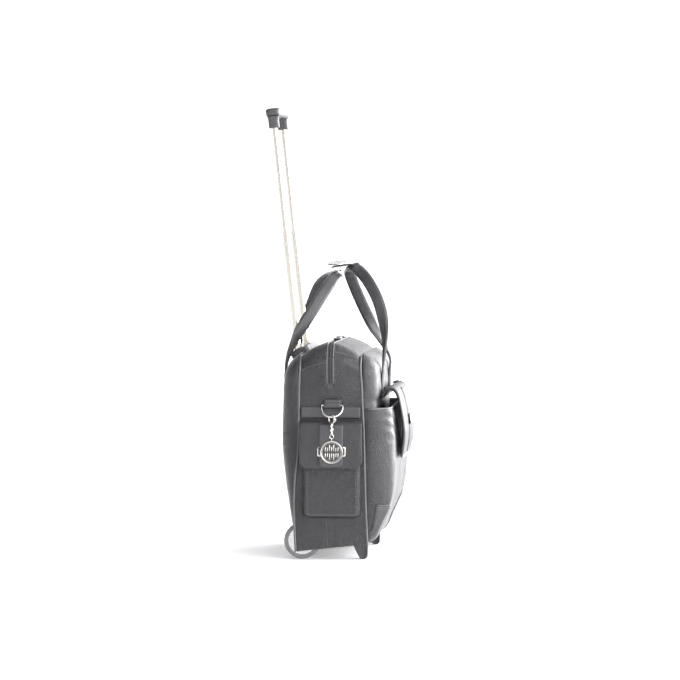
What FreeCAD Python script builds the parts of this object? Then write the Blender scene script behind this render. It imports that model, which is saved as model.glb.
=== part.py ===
import FreeCAD, Part
import math
import os
import re
import Sketcher
from FreeCAD import Placement, Rotation
from FreeCAD import Vector as V

# Rolling laptop case: a soft leather case on a small two-wheel trolley chassis.
# Row frame: millimetres, +Z up, -Y is the front (pocket side), X runs along the case's width.
# The origin is the centre of the bounding box's footprint, on the floor.

doc = FreeCAD.newDocument("RollingCase")
sheet = doc.addObject("Spreadsheet::Sheet", "Sizes")

CELLS = [
    ("off_x", 6.29), ("off_y", 3.51),
    ("half_w", 210), ("gus_front", 56.8), ("gus_rear", 53.8), ("leather", 3),
    ("top_z", 391.5), ("zip_end", 290.5), ("tape_half", 6), ("coil_half", 1.8),
    ("lean", 6.1), ("ch_y", 30.5), ("ch_z", 25),
    ("board_w", 400), ("board_d", 108), ("board_cy", -32), ("board_t", 4), ("board_rad", 10),
    ("wheel_x", 165), ("wheel_y", 22), ("wheel_z", 10.4), ("tyre_rad", 33), ("tyre_w", 22), ("rim_rad", 25),
    ("bearing_rad", 11), ("bearing_w", 7), ("axle_rad", 4), ("bearing_bore", 4.05),
    ("house_rad", 39.5), ("house_in", 37), ("house_w", 33), ("house_gap", 28), ("house_t", 2.5),
    ("post_x", 90),
    ("outer_w", 21.2), ("outer_d", 15), ("outer_iw", 18.6), ("outer_id", 12.4), ("outer_low", 3), ("outer_top", 360),
    ("mid_w", 17.4), ("mid_d", 11.4), ("mid_iw", 15), ("mid_id", 9), ("mid_low", 305), ("mid_top", 567),
    ("inn_w", 14), ("inn_d", 8), ("inn_iw", 11.8), ("inn_id", 5.8), ("inn_low", 522), ("inn_top", 777),
    ("cap_w", 20.4), ("cap_d", 14.4), ("cap_t", 2.5),
    ("grip_low", 760), ("grip_mid", 781), ("grip_split", 788), ("grip_top", 797), ("grip_half", 101), ("grip_d", 25),
    ("socket_w", 20), ("socket_d", 19),
    ("foot_x", 165), ("foot_w", 26), ("pad_t", 2),
    ("ring_r", 1.75), ("ring_half", 19.2), ("ring_drop", 25.5), ("ring_z", 280), ("ring_x", 215.6),
    ("charm_r", 20.5), ("charm_t", 3),
    ("handle_r", 6.2),
]
for row, (alias, value) in enumerate(CELLS, 1):
    sheet.set("A%d" % row, alias)
    sheet.set("B%d" % row, str(value))
    sheet.setAlias("B%d" % row, alias)
doc.recompute()
D = {alias: float(sheet.get(alias)) for alias, _ in CELLS}
PATTERN = re.compile(r"\b(" + "|".join(sorted(D, key=len, reverse=True)) + r")\b")


def ex(e):
    return PATTERN.sub(r"Sizes.\1", str(e))


def val(e):
    """The number an expression in the sheet's aliases gives: sums and products only."""
    total = FreeCAD.Units.Quantity(PATTERN.sub(lambda m: "(%r)" % D[m.group(1)], str(e)))
    return float(total.Value)


PARTS = []
OFF = Placement(V(D["off_x"], D["off_y"], 0), Rotation())
CH = OFF.multiply(Placement(V(0, D["ch_y"], D["ch_z"]), Rotation(V(1, 0, 0), -D["lean"])))
TH = math.radians(D["lean"])
WRAPPED = ("Part::Box", "Part::Cylinder", "Part::Cone", "Part::Torus", "Part::Sphere")


def out(obj, label, frame=OFF):
    """Names a finished sub-part and puts it in its frame."""
    if obj.TypeId in WRAPPED:
        c = doc.addObject("Part::Compound", label)
        c.Links = [obj]
        obj = c
    obj.Label = label
    obj.Placement = frame.multiply(obj.Placement) if obj.TypeId == "Part::Feature" else frame
    PARTS.append(obj)
    return obj


def box(name, lx, ly, lz, x, y, z):
    """A box centred on x and y, standing on z, bound to the sheet."""
    b = doc.addObject("Part::Box", name)
    b.setExpression("Length", ex(lx))
    b.setExpression("Width", ex(ly))
    b.setExpression("Height", ex(lz))
    b.setExpression("Placement.Base.x", ex("(%s) - (%s)/2" % (x, lx)))
    b.setExpression("Placement.Base.y", ex("(%s) - (%s)/2" % (y, ly)))
    b.setExpression("Placement.Base.z", ex(z))
    return b


def cyl(name, r, h, x, y, z, axis="z"):
    """A cylinder of length h centred on (x, y, z) along axis x or y, or standing on z."""
    c = doc.addObject("Part::Cylinder", name)
    c.setExpression("Radius", ex(r))
    c.setExpression("Height", ex(h))
    rot = {"z": Rotation(), "x": Rotation(V(0, 1, 0), 90), "y": Rotation(V(1, 0, 0), -90)}[axis]
    c.Placement = Placement(V(0, 0, 0), rot)
    sx, sy = ("(%s) - (%s)/2" % (x, h), y) if axis == "x" else (x, "(%s) - (%s)/2" % (y, h)) if axis == "y" else (x, y)
    c.setExpression("Placement.Base.x", ex(sx))
    c.setExpression("Placement.Base.y", ex(sy))
    c.setExpression("Placement.Base.z", ex(z))
    return c


def fuse(name, *objs):
    f = doc.addObject("Part::MultiFuse", name)
    f.Shapes = list(objs)
    return f


def cut(name, base, *tools):
    c = doc.addObject("Part::Cut", name)
    c.Base = base
    c.Tool = tools[0] if len(tools) == 1 else fuse(name + "_tools", *tools)
    return c


def common(name, a, b):
    c = doc.addObject("Part::Common", name)
    c.Base, c.Tool = a, b
    return c


def group(name, *objs):
    c = doc.addObject("Part::Compound", name)
    c.Links = list(objs)
    return c


def rounded(name, obj, r, pick):
    """Fillets the edges that pick(edge) chooses."""
    doc.recompute()
    f = doc.addObject("Part::Fillet", name)
    f.Base = obj
    f.Edges = [(i, r, r) for i, e in enumerate(obj.Shape.Edges, 1) if pick(e)]
    return f


def along(axis):
    d = {"x": V(1, 0, 0), "y": V(0, 1, 0), "z": V(0, 0, 1)}[axis]

    def pick(e):
        if len(e.Vertexes) != 2:
            return False
        t = e.Vertexes[1].Point - e.Vertexes[0].Point
        return t.Length > 1e-6 and abs(abs(t.normalize().dot(d)) - 1) < 1e-6

    return pick


def rbox(name, lx, ly, lz, x, y, z, r, axis="z"):
    return rounded(name, box(name + "_blank", lx, ly, lz, x, y, z), r, along(axis))


def feature(name, shape):
    f = doc.addObject("Part::Feature", name)
    f.Shape = shape
    return f


# PartDesign helpers: a body, a sketch on one of its own origin planes, rectangles and circles bound to the sheet.
def body(name):
    return doc.addObject("PartDesign::Body", name)


def sketch(b, name, role, offset=None):
    s = b.newObject("Sketcher::SketchObject", name)
    s.AttachmentSupport = [([f for f in b.Origin.OriginFeatures if f.Role == role][0], "")]
    s.MapMode = "FlatFace"
    if offset is not None:
        s.setExpression("AttachmentOffset.Base.z", ex(offset))
    return s


def constrain(s, kind, *args, expr=None):
    i = s.addConstraint(Sketcher.Constraint(kind, *args))
    if expr is not None:
        s.setExpression("Constraints[%d]" % i, ex(expr))
    return i


def rect(s, w, h, cx="0", cy="0"):
    a, b, x, y = val(w), val(h), val(cx), val(cy)
    p = [V(x - a / 2, y - b / 2, 0), V(x + a / 2, y - b / 2, 0), V(x + a / 2, y + b / 2, 0), V(x - a / 2, y + b / 2, 0)]
    n = s.GeometryCount
    for i in range(4):
        s.addGeometry(Part.LineSegment(p[i], p[(i + 1) % 4]), False)
    for i in range(4):
        s.addConstraint(Sketcher.Constraint("Coincident", n + i, 2, n + (i + 1) % 4, 1))
    for i, kind in enumerate(("Horizontal", "Vertical", "Horizontal", "Vertical")):
        s.addConstraint(Sketcher.Constraint(kind, n + i))
    constrain(s, "DistanceX", n, 1, n, 2, a, expr=w)
    constrain(s, "DistanceY", n + 1, 1, n + 1, 2, b, expr=h)
    constrain(s, "DistanceX", -1, 1, n, 1, x - a / 2, expr="(%s) - (%s)/2" % (cx, w))
    constrain(s, "DistanceY", -1, 1, n, 1, y - b / 2, expr="(%s) - (%s)/2" % (cy, h))


def circle(s, r, cx="0", cy="0"):
    n = s.GeometryCount
    s.addGeometry(Part.Circle(V(val(cx), val(cy), 0), V(0, 0, 1), val(r)), False)
    constrain(s, "Radius", n, val(r), expr=r)
    constrain(s, "DistanceX", -1, 1, n, 3, val(cx), expr=cx)
    constrain(s, "DistanceY", -1, 1, n, 3, val(cy), expr=cy)


def pad(b, s, length, name):
    p = b.newObject("PartDesign::Pad", name)
    p.Profile = s
    p.setExpression("Length", ex(length))
    b.Tip = p
    return p


def pocket_through(b, s, name):
    p = b.newObject("PartDesign::Pocket", name)
    p.Profile = s
    p.Type = 1
    p.Midplane = True
    b.Tip = p
    return p


def polyline(s, points):
    """A closed outline of straight runs, blocked where it is drawn."""
    n = s.GeometryCount
    k = len(points)
    for i in range(k):
        s.addGeometry(Part.LineSegment(V(*points[i], 0), V(*points[(i + 1) % k], 0)), False)
    for i in range(k):
        s.addConstraint(Sketcher.Constraint("Coincident", n + i, 2, n + (i + 1) % k, 1))


# Chassis: everything in the CH frame stands square to the base board, which leans back with the trolley posts.
board = body("base_board_body")
s = sketch(board, "board_outline", "XY_Plane", "-board_t")
rect(s, "board_w", "board_d", "0", "board_cy")
pad(board, s, "board_t", "board_pad")
s = sketch(board, "board_slots", "XY_Plane", "-board_t")
rect(s, "36.6", "44", "wheel_x", "wheel_y - 19")
rect(s, "36.6", "44", "-wheel_x", "wheel_y - 19")
doc.recompute()
pocket_through(board, s, "board_pocket")
out(board, "base_board", CH)

leather = body("bottom_panel_body")
s = sketch(leather, "leather_outline", "XY_Plane", "-board_t - 2")
rect(s, "board_w + 10", "board_d - 4", "0", "board_cy")
pad(leather, s, "2", "leather_pad")
s = sketch(leather, "leather_slots", "XY_Plane", "-board_t - 2")
rect(s, "36.6", "44", "wheel_x", "wheel_y - 19")
rect(s, "36.6", "44", "-wheel_x", "wheel_y - 19")
doc.recompute()
pocket_through(leather, s, "leather_pocket")
out(leather, "bottom_panel", CH)


def housing(side, sx):
    x = "%d*wheel_x" % sx
    drum = cyl("drum" + side, "house_rad", "house_w", x, "wheel_y", "wheel_z", "x")
    keep = box("drum_keep" + side, "house_w", "46", "60", x, "5.5", "0")
    shell = common("drum_half" + side, drum, keep)
    flange = box("flange" + side, "50", "44", "house_t", x, "0", "0")
    whole = fuse("housing_whole" + side, shell, flange)
    gap = cyl("housing_gap" + side, "house_in", "house_gap", x, "wheel_y", "wheel_z", "x")
    bolt = cyl("housing_hole" + side, "axle_rad", "60", x, "wheel_y", "wheel_z", "x")
    return cut("housing_cut" + side, whole, gap, bolt)


def wheel(side, sx):
    x = "%d*wheel_x" % sx
    tyre = cut("tyre_ring" + side, cyl("tyre_out" + side, "tyre_rad", "tyre_w", x, "wheel_y", "wheel_z", "x"),
               cyl("tyre_in" + side, "rim_rad", "60", x, "wheel_y", "wheel_z", "x"))
    doc.recompute()
    tyre = rounded("tyre_round" + side, tyre, 4.0, lambda e: isinstance(e.Curve, Part.Circle) and e.Curve.Radius > D["tyre_rad"] - 0.1)
    out(tyre, "wheel_tyre_" + side, CH)
    hub = cyl("hub_out" + side, "rim_rad", "tyre_w - 2", x, "wheel_y", "wheel_z", "x")
    seat_a = cyl("seat_a" + side, "bearing_rad", "bearing_w", "%s + %d*((tyre_w - 2)/2 - bearing_w/2)" % (x, sx), "wheel_y", "wheel_z", "x")
    seat_b = cyl("seat_b" + side, "bearing_rad", "bearing_w", "%s - %d*((tyre_w - 2)/2 - bearing_w/2)" % (x, sx), "wheel_y", "wheel_z", "x")
    through = cyl("hub_bore" + side, "bearing_rad - 2", "60", x, "wheel_y", "wheel_z", "x")
    dish_a = cyl("dish_a" + side, "rim_rad - 3", "3", "%s + %d*((tyre_w - 2)/2 - 1.5)" % (x, sx), "wheel_y", "wheel_z", "x")
    boss_a = cyl("boss_a" + side, "bearing_rad + 2.5", "3", "%s + %d*((tyre_w - 2)/2 - 1.5)" % (x, sx), "wheel_y", "wheel_z", "x")
    dish = cut("dish_ring" + side, dish_a, boss_a)
    out(cut("hub_cut" + side, hub, seat_a, seat_b, through, dish), "wheel_hub_" + side, CH)
    rings = []
    for k in (1, -1):
        bx = "%s + %d*((tyre_w - 2)/2 - bearing_w/2)" % (x, k)
        rings.append(cut("bearing%s%d" % (side, k), cyl("br_o%s%d" % (side, k), "bearing_rad", "bearing_w", bx, "wheel_y", "wheel_z", "x"),
                         cyl("br_i%s%d" % (side, k), "bearing_bore", "60", bx, "wheel_y", "wheel_z", "x")))
    out(group("bearings" + side, *rings), "wheel_bearings_" + side, CH)
    shaft = cyl("axle_shaft" + side, "axle_rad", "house_w", x, "wheel_y", "wheel_z", "x")
    head = cyl("axle_head" + side, "7", "3", "%s - (house_w/2 + 1.5)" % x, "wheel_y", "wheel_z", "x")
    nut = cyl("axle_nut" + side, "6.5", "3", "%s + (house_w/2 + 1.5)" % x, "wheel_y", "wheel_z", "x")
    spacers = []
    for k in (1, -1):
        bx = "%s + %d*(house_gap/2 - 1.6)" % (x, k)
        spacers.append(cut("spacer%s%d" % (side, k), cyl("sp_o%s%d" % (side, k), "6", "3.2", bx, "wheel_y", "wheel_z", "x"),
                           cyl("sp_i%s%d" % (side, k), "axle_rad", "60", bx, "wheel_y", "wheel_z", "x")))
    return [fuse("axle_whole" + side, shaft, head, nut)] + spacers


out(group("housing_group", housing("left", -1), housing("right", 1)), "wheel_housings", CH)
out(group("axle_group", *(wheel("left", -1) + wheel("right", 1))), "wheel_axles", CH)

# Trolley: fixed outer tubes on a base bracket, a mid stage and an inner stage with the grip.
bracket = [box("bracket_plate", "2*post_x + 54", "30", "outer_low", "0", "0", "0")]
for k in (1, -1):
    bracket.append(cut("bracket_cup%d" % k, box("cup_o%d" % k, "outer_w + 6", "outer_d + 6", "24", "%d*post_x" % k, "0", "outer_low - 0.5"),
                       rbox("cup_i%d" % k, "outer_w", "outer_d", "40", "%d*post_x" % k, "0", "outer_low", 4)))
brace = rbox("brace_plate", "2*post_x + outer_w", "2", "30", "0", "-outer_d/2 - 1", "170", 0.6, "x")
out(group("bracket_group", fuse("bracket_fuse", *bracket), brace), "trolley_brackets", CH)

for stage in ("outer", "mid", "inn"):
    pair = []
    for side, k in (("left", -1), ("right", 1)):
        rr = {"outer": (4.0, 3.0), "mid": (3.2, 2.2), "inn": (2.4, 1.6)}[stage]
        o = rbox("%s_%s_skin" % (stage, side), stage + "_w", stage + "_d", "%s_top - %s_low" % (stage, stage), "%d*post_x" % k, "0", stage + "_low", rr[0])
        i = rbox("%s_%s_core" % (stage, side), stage + "_iw", stage + "_id", "%s_top - %s_low + 20" % (stage, stage), "%d*post_x" % k, "0", stage + "_low - 10", rr[1])
        pair.append(cut("%s_%s_tube" % (stage, side), o, i))
    out(group(stage + "_pair", *pair), {"outer": "outer_tubes", "mid": "middle_tubes", "inn": "inner_tubes"}[stage], CH)

caps, plugs_m, plugs_i, rivets = [], [], [], []
for k in (-1, 1):
    px = "%d*post_x" % k
    caps.append(cut("cap%d" % k, rbox("cap_o%d" % k, "cap_w", "cap_d", "cap_t", px, "0", "mid_top", 4),
                    rbox("cap_i%d" % k, "inn_w + 0.6", "inn_d + 0.6", "30", px, "0", "mid_top - 10", 2.6)))
    plugs_m.append(fuse("plug_m%d" % k, rbox("plug_ma%d" % k, "mid_iw", "mid_id", "20", px, "0", "mid_low", 2.2),
                        rbox("plug_mb%d" % k, "mid_w", "mid_d", "5", px, "0", "mid_low - 5", 3.2)))
    plugs_i.append(fuse("plug_i%d" % k, rbox("plug_ia%d" % k, "inn_iw", "inn_id", "18", px, "0", "inn_low", 1.6),
                        rbox("plug_ib%d" % k, "inn_w", "inn_d", "5", px, "0", "inn_low - 5", 2.4)))
    for dz in (12, 22.5):
        for f in (1, -1):
            rivets.append(cyl("rivet%d%d%d" % (k, int(dz), f), "1.9", "0.3", "%s + %d*(mid_w/2 + 0.15)" % (px, f), "0", "mid_top - %s" % dz, "x"))
out(group("cap_group", *(caps + rivets)), "middle_tube_collars", CH)
out(group("plug_m_group", *plugs_m), "middle_tube_plugs", CH)
out(group("plug_i_group", *plugs_i), "inner_tube_plugs", CH)

# Grip: a lower body with two sockets, a top cover and the release button with its bridge and rods.
bar = rbox("grip_bar", "2*grip_half", "grip_d", "grip_top - grip_mid", "0", "0", "grip_mid", 5.5, "x")
lower = [common("grip_lower_bar", bar, box("grip_lower_keep", "300", "60", "grip_split - grip_mid", "0", "0", "grip_mid"))]
for k in (-1, 1):
    lower.append(rbox("socket%d" % k, "socket_w", "socket_d", "grip_mid - grip_low + 1", "%d*post_x" % k, "0", "grip_low", 4))
tools = [box("grip_slot", "2*post_x + 10", "8", "40", "0", "0", "777"), rbox("grip_well", "40", "13", "40", "0", "0", "grip_split - 4.5", 4)]
for k in (-1, 1):
    tools.append(rbox("socket_hole%d" % k, "inn_w", "inn_d", "30", "%d*post_x" % k, "0", "grip_low - 10", 2.4))
out(cut("grip_lower_cut", fuse("grip_lower", *lower), *tools), "grip_body", CH)
bar2 = rbox("grip_bar2", "2*grip_half", "grip_d", "grip_top - grip_mid", "0", "0", "grip_mid", 5.5, "x")
top = common("grip_upper_bar", bar2, box("grip_upper_keep", "300", "60", "40", "0", "0", "grip_split"))
out(cut("grip_upper_cut", top, rbox("button_well", "40", "13", "40", "0", "0", "grip_split - 10", 4)), "grip_cover", CH)
button = rbox("button_cap", "38.6", "11.6", "11.5", "0", "0", "grip_split", 3.5)
stem = box("button_stem", "10", "4", "8", "0", "0", "780.5")
out(fuse("button_whole", button, stem), "release_button", CH)
bridge = cut("bridge_cut", box("bridge_bar", "2*post_x + 6", "4", "3", "0", "0", "782"), box("bridge_gap", "10", "10", "10", "0", "0", "780"))
rods = [bridge]
for k in (-1, 1):
    rods.append(cyl("rod%d" % k, "1.5", "237", "%d*post_x" % k, "0", "546"))
out(fuse("rods_whole", *rods), "release_rods", CH)

# Bezel: the plate on the case's rear shoulder that the posts come out of.
plate = doc.addObject("Part::Box", "bezel_blank")
plate.Length, plate.Width, plate.Height = 206, 49, 4
plate_r = rounded("bezel_round", plate, 9, along("z"))
plate_r.Placement = Placement(V(0, -5.4, 356.1), Rotation(V(1, 0, 0), -24.9)).multiply(Placement(V(-103, -24.5, -2), Rotation()))
holes = [rbox("bezel_hole%d" % k, "outer_w", "outer_d", "80", "%d*post_x" % k, "0", "320", 4) for k in (-1, 1)]
skirt = box("bezel_skirt", "206", "46.5", "60", "0", "-7.2", "326")
below = doc.addObject("Part::Box", "bezel_below")
below.Length, below.Width, below.Height = 230, 90, 60
below.Placement = Placement(V(0, -5.4, 356.1), Rotation(V(1, 0, 0), -24.9)).multiply(Placement(V(-115, -45, -60), Rotation()))
out(cut("bezel_cut", fuse("bezel_fuse", plate_r, common("bezel_under", skirt, below)), *holes), "trolley_bezel", CH)

screws = []
for sx in (-1, 1):
    for (dx, dy) in ((-21, -19), (21, -19), (-21, 8), (21, 8)):
        screws.append(cyl("screw_h%d_%d_%d" % (sx, dx, dy + 30), "3", "2", "%d*wheel_x + %d" % (sx, dx), str(dy), "house_t"))
    for dy in (-11, 11):
        screws.append(cyl("screw_b%d_%d" % (sx, dy + 30), "3", "2", "%d*108.5" % sx, str(dy), "outer_low"))
    for dx in (-7, 7):
        screws.append(cyl("screw_f%d_%d" % (sx, dx + 30), "3.5", "2", "%d*foot_x + %d" % (sx, dx), "-79", "0"))
out(group("screw_group", *screws), "chassis_screws", CH)

# Feet: tapered legs under the front of the base, each with a rubber pad.
slope = math.tan(TH)


def under(y, drop=6.0):
    """Height of the bottom panel's lower face at depth y, before the origin's offset."""
    return D["ch_z"] + (D["ch_y"] - y) * slope - drop / math.cos(TH)


feet = []
for side, k in (("left", -1), ("right", 1)):
    b = body("foot_%s_body" % side)
    s = sketch(b, "foot_profile_" + side, "YZ_Plane", "%d*foot_x - foot_w/2" % k)
    polyline(s, [(-66.2, 28.2), (-65.2, D["pad_t"]), (-49.5, D["pad_t"]), (-38.5, under(-38.5, 6.1)), (-56.5, 28.2)])
    doc.recompute()
    pad(b, s, "foot_w", "foot_pad_" + side)
    feet.append(b)
    feet.append(rbox("pad%d" % k, "foot_w - 2", "15", "pad_t", "%d*foot_x" % k, "-57.3", "0", 3))
out(group("feet_group", *feet), "front_feet")


# Soft panels: shells made from stacked outlines.
def outline(z, hx, base, far, r):
    """A closed outline at height z: flat at y = base, out to y = far, with rounded far corners."""
    s = 1 if far > base else -1
    r = max(1.0, min(r, abs(far - base) * 0.85))
    p1, p2 = V(-hx, base, z), V(-hx, far - s * r, z)
    p3, p4 = V(-hx + r, far, z), V(hx - r, far, z)
    p5, p6 = V(hx, far - s * r, z), V(hx, base, z)
    q = r * (1 - math.sqrt(0.5))
    m1, m2 = V(-hx + q, far - s * q, z), V(hx - q, far - s * q, z)
    return Part.Wire([Part.makeLine(p1, p2), Part.Arc(p2, m1, p3).toShape(), Part.makeLine(p3, p4), Part.Arc(p4, m2, p5).toShape(), Part.makeLine(p5, p6), Part.makeLine(p6, p1)])


def loft(rows, base, grow=0.0, back=0.0, r=24):
    return Part.makeLoft([outline(z, hx + grow, base + back, far + (grow if far > base else -grow), r + grow) for z, hx, far in rows], True, True)


def solid_box(x0, x1, y0, y1, z0, z1):
    return Part.makeBox(x1 - x0, y1 - y0, z1 - z0, V(x0, y0, z0))


def in_chassis(x0, x1, y0, y1, z0, z1):
    b = solid_box(x0, x1, y0, y1, z0, z1)
    b.Placement = Placement(V(0, D["ch_y"], D["ch_z"]), Rotation(V(1, 0, 0), -D["lean"]))
    return b


wheel_rooms = []
for k in (-1, 1):
    room = in_chassis(k * D["wheel_x"] - 20, k * D["wheel_x"] + 20, -30, 80, -40, 51)
    wheel_rooms.append(room)

REAR = [(24, 186, 61.5), (40, 202, 65), (65, 206, 70), (110, 207, 76), (155, 207, 81.5), (200, 207, 85), (292, 207, 85), (332, 204, 82), (350, 196, 76), (364, 182, 68), (371, 168, 61.5)]
rear_out = loft(REAR, 58.2)
rear_in = loft([(z, hx - 3, y - 3) for z, hx, y in REAR if 40 < z < 364] + [(363, 180, 65.3)], 58.2, back=-4)
bezel_room = in_chassis(-104, 104, -31.2, 16.9, 324, 430)
rear = rear_out.cut(rear_in)
for room in wheel_rooms:
    rear = rear.cut(room)
rear = rear.cut(bezel_room)
out(feature("rear_panel_shape", rear), "rear_panel")

FRONT = [(33, 190, -64), (38, 197, -67), (45, 200.5, -71.5), (60, 203.5, -79), (83, 204.5, -83), (292, 204.5, -83), (335, 203, -82), (352, 196, -77), (364, 184, -70), (371, 168, -64.5)]
front_out = loft(FRONT, -61.2)
front_in = loft([(z, hx - 3, y + 3) for z, hx, y in FRONT if 45 <= z < 364] + [(363, 182, -68)], -61.2, back=4)
out(feature("front_panel_shape", front_out.cut(front_in)), "front_panel")

POCKET = [(29, 196, -65), (38, 204, -75), (56, 208, -86), (83, 209, -99), (110, 209, -109), (146, 209, -114.5), (182, 209, -115.5), (240, 209, -115), (270, 208.5, -113)]
pocket_out = loft(POCKET, -61.2, r=14)
pocket_in = loft([(31.5, 193.6, -66.2)] + [(z, hx - 2.6, y + 2.6) for z, hx, y in POCKET if 38 <= z < 270] + [(280, 206, -110)], -61.2, back=4, r=12)
pocket = pocket_out.cut(pocket_in)
out(feature("front_pocket_shape", pocket), "front_pocket")
patch_skin = loft(POCKET, -61.2, grow=1.4, r=14).cut(loft(POCKET, -61.2, grow=0.15, back=5, r=14)).cut(pocket_out)
patches = []
for k in (-1, 1):
    ball = Part.makeSphere(60, V(k * 200, -66, 44))
    piece = patch_skin.common(ball)
    patches += [q for q in piece.Solids if q.Volume > 200]
out(feature("corner_patch_shape", Part.makeCompound(patches)), "corner_patches")


def prism(points, plane, low, high):
    """A closed outline in the plane yz or xz, drawn out between low and high along the other axis."""
    if plane == "yz":
        v = [V(low, a, b) for a, b in points]
        d = V(high - low, 0, 0)
    else:
        v = [V(a, low, b) for a, b in points]
        d = V(0, high - low, 0)
    return Part.Face(Part.makePolygon(v + [v[0]])).extrude(d)


# End gussets, top strips and the zipper over the top.
ARCH = [(-56.8, 366), (-46, 374), (-20, 384.5), (-6, 387.8), (6, 387.8), (20, 384.5), (44, 375), (53.8, 367)]
low_r, low_f = under(53.8, -0.4), under(-56.8, -0.4)
ends = [prism([(53.8, low_r), (-56.8, low_f)] + ARCH, "yz", *sorted((k * 206, k * 210))) for k in (-1, 1)]
out(feature("gusset_shape", Part.makeCompound(ends)), "end_gussets")
strips = []
for side, pts in (("front", [(-56.8, 366.2), (-46, 374.2), (-20, 384.7), (-6.2, 388), (-6.2, 391.5), (-20, 388.5), (-46, 377.8), (-56.8, 369.8)]),
                  ("rear", [(53.8, 367.2), (44, 375.2), (20, 384.7), (6.2, 388), (6.2, 391.5), (20, 388.5), (44, 379), (53.8, 370.8)])):
    strip = prism(pts, "yz", -210, 210)
    if side == "rear":
        strip = strip.cut(bezel_room)
    strips += strip.Solids
out(feature("top_strip_shape", Part.makeCompound(strips)), "top_strips")
tape = cut("tape_cut", box("tape_out", "2*(half_w + 1.2)", "2*tape_half", "top_z - zip_end", "0", "0", "zip_end"),
           box("tape_in", "2*half_w", "60", "top_z - zip_end - 1.8", "0", "0", "zip_end - 0.01"))
coil = cut("coil_cut", box("coil_out", "2*(half_w + 2.3)", "2*coil_half", "top_z + 1.1 - zip_end", "0", "0", "zip_end"),
           box("coil_in", "2*(half_w + 1.2)", "60", "top_z - zip_end", "0", "0", "zip_end - 0.01"))
out(group("zipper_group", tape, coil), "zipper")
for side, k in (("left", -1), ("right", 1)):
    x = "%d*9" % k
    blank = rbox("slider_blank" + side, "14", "10", "5.4", x, "0", "top_z + 0.3", 2)
    out(cut("slider_cut" + side, blank, box("slider_groove" + side, "30", "4.4", "1.6", x, "0", "top_z + 0.2")), "zip_slider_" + side)
    eye_x = "%d*17.6" % k
    blank = rbox("pull_blank" + side, "30", "9", "1.8", "%d*33" % k, "0", "top_z + 2.6", 2.4)
    out(blank, "zip_pull_" + side)

# Piping round both edges of the gusset.
def loop_wire(y, hx, z0, z1, r):
    a = [V(-hx + r, y, z1), V(hx - r, y, z1), V(hx, y, z1 - r), V(hx, y, z0 + r), V(hx - r, y, z0), V(-hx + r, y, z0), V(-hx, y, z0 + r), V(-hx, y, z1 - r)]
    q = r * (1 - math.sqrt(0.5))
    mids = [V(hx - q, y, z1 - q), V(hx - q, y, z0 + q), V(-hx + q, y, z0 + q), V(-hx + q, y, z1 - q)]
    edges = []
    for i in range(4):
        edges.append(Part.makeLine(a[2 * i], a[2 * i + 1]))
        edges.append(Part.Arc(a[2 * i + 1], mids[i], a[(2 * i + 2) % 8]).toShape())
    return Part.Wire(edges)


def pipe(wire, r):
    e = wire.Edges[0]
    p, t = e.valueAt(e.FirstParameter), e.tangentAt(e.FirstParameter)
    ring = Part.Wire([Part.makeCircle(r, p, t)])
    return wire.makePipeShell([ring], True, False)


tubes = []
for side, y, z0, z1 in (("rear", 56.0, 24, 370), ("front", -59.0, 34, 369)):
    tube = pipe(loop_wire(y, 207.8, z0, z1, 34), 2.1)
    if side == "rear":
        for room in wheel_rooms:
            tube = tube.cut(room)
        tube = tube.cut(bezel_room)
    tubes += tube.Solids
out(feature("piping_shape", Part.makeCompound(tubes)), "piping")

out(rounded("rear_band_round", box("rear_band_blank", "388", "2.3", "31", "0", "86.5", "201.5"), 0.8, along("x")), "rear_luggage_band")

# Inner structure: the stiff back board before the posts and the padded laptop sleeve.
out(rbox("back_board_round", "392", "2.5", "287", "0", "-12.5", "33", 20, "y"), "back_board", CH)
out(rbox("sleeve_round", "372", "6", "250", "0", "-44", "0.3", 18, "y"), "laptop_sleeve", CH)


def offset(points, d):
    """An open run of points moved sideways by d, to the left of its direction."""
    moved = []
    for i, (a, b) in enumerate(points):
        p, q = points[max(i - 1, 0)], points[min(i + 1, len(points) - 1)]
        t = math.hypot(q[0] - p[0], q[1] - p[1])
        n = (-(q[1] - p[1]) / t, (q[0] - p[0]) / t)
        moved.append((a + n[0] * d, b + n[1] * d))
    return moved


# Front flap, its strap, buckle and magnets.
FLAP = [(-84.9, 291.6), (-92, 303), (-103, 309), (-114, 305), (-121.5, 291), (-127, 265), (-131, 236), (-130, 208), (-125.5, 181)]
inner = offset(FLAP, 6)
root = prism(FLAP[:3] + [inner[2], (-97, 298.5), (-90, 290), (-86.4, 288.6)], "yz", -130, 130)
out(feature("flap_root_shape", root), "front_flap_root")
flap = prism([(-103.4, 309)] + FLAP[3:] + inner[3:][::-1] + [(-103.9, 303)], "yz", -130, 130)
RUN = FLAP[3:8] + [(-126.6, 188)]
out(feature("front_flap_shape", Part.makeCompound([flap, prism(RUN + offset(RUN, -2)[::-1], "yz", -20, 20)])), "front_flap")
bk = solid_box(-25, 25, 0, 3.2, -8, 8).cut(solid_box(-20.5, 20.5, 1.2, 9, -9, 9))
bk.Placement = Placement(V(0, -133.0, 246), Rotation(V(1, 0, 0), -7.85))
mg = Part.makeCylinder(9, 2.2, V(0, -119.0, 200), V(0, -1, 0)).cut(flap)
out(feature("flap_buckle_shape", Part.makeCompound([bk, mg])), "front_flap_hardware")
out(feature("pocket_magnet_shape", Part.makeCylinder(9, 3.0, V(0, -115.0, 200), V(0, -1, 0)).cut(pocket_out)), "pocket_magnet")

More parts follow.
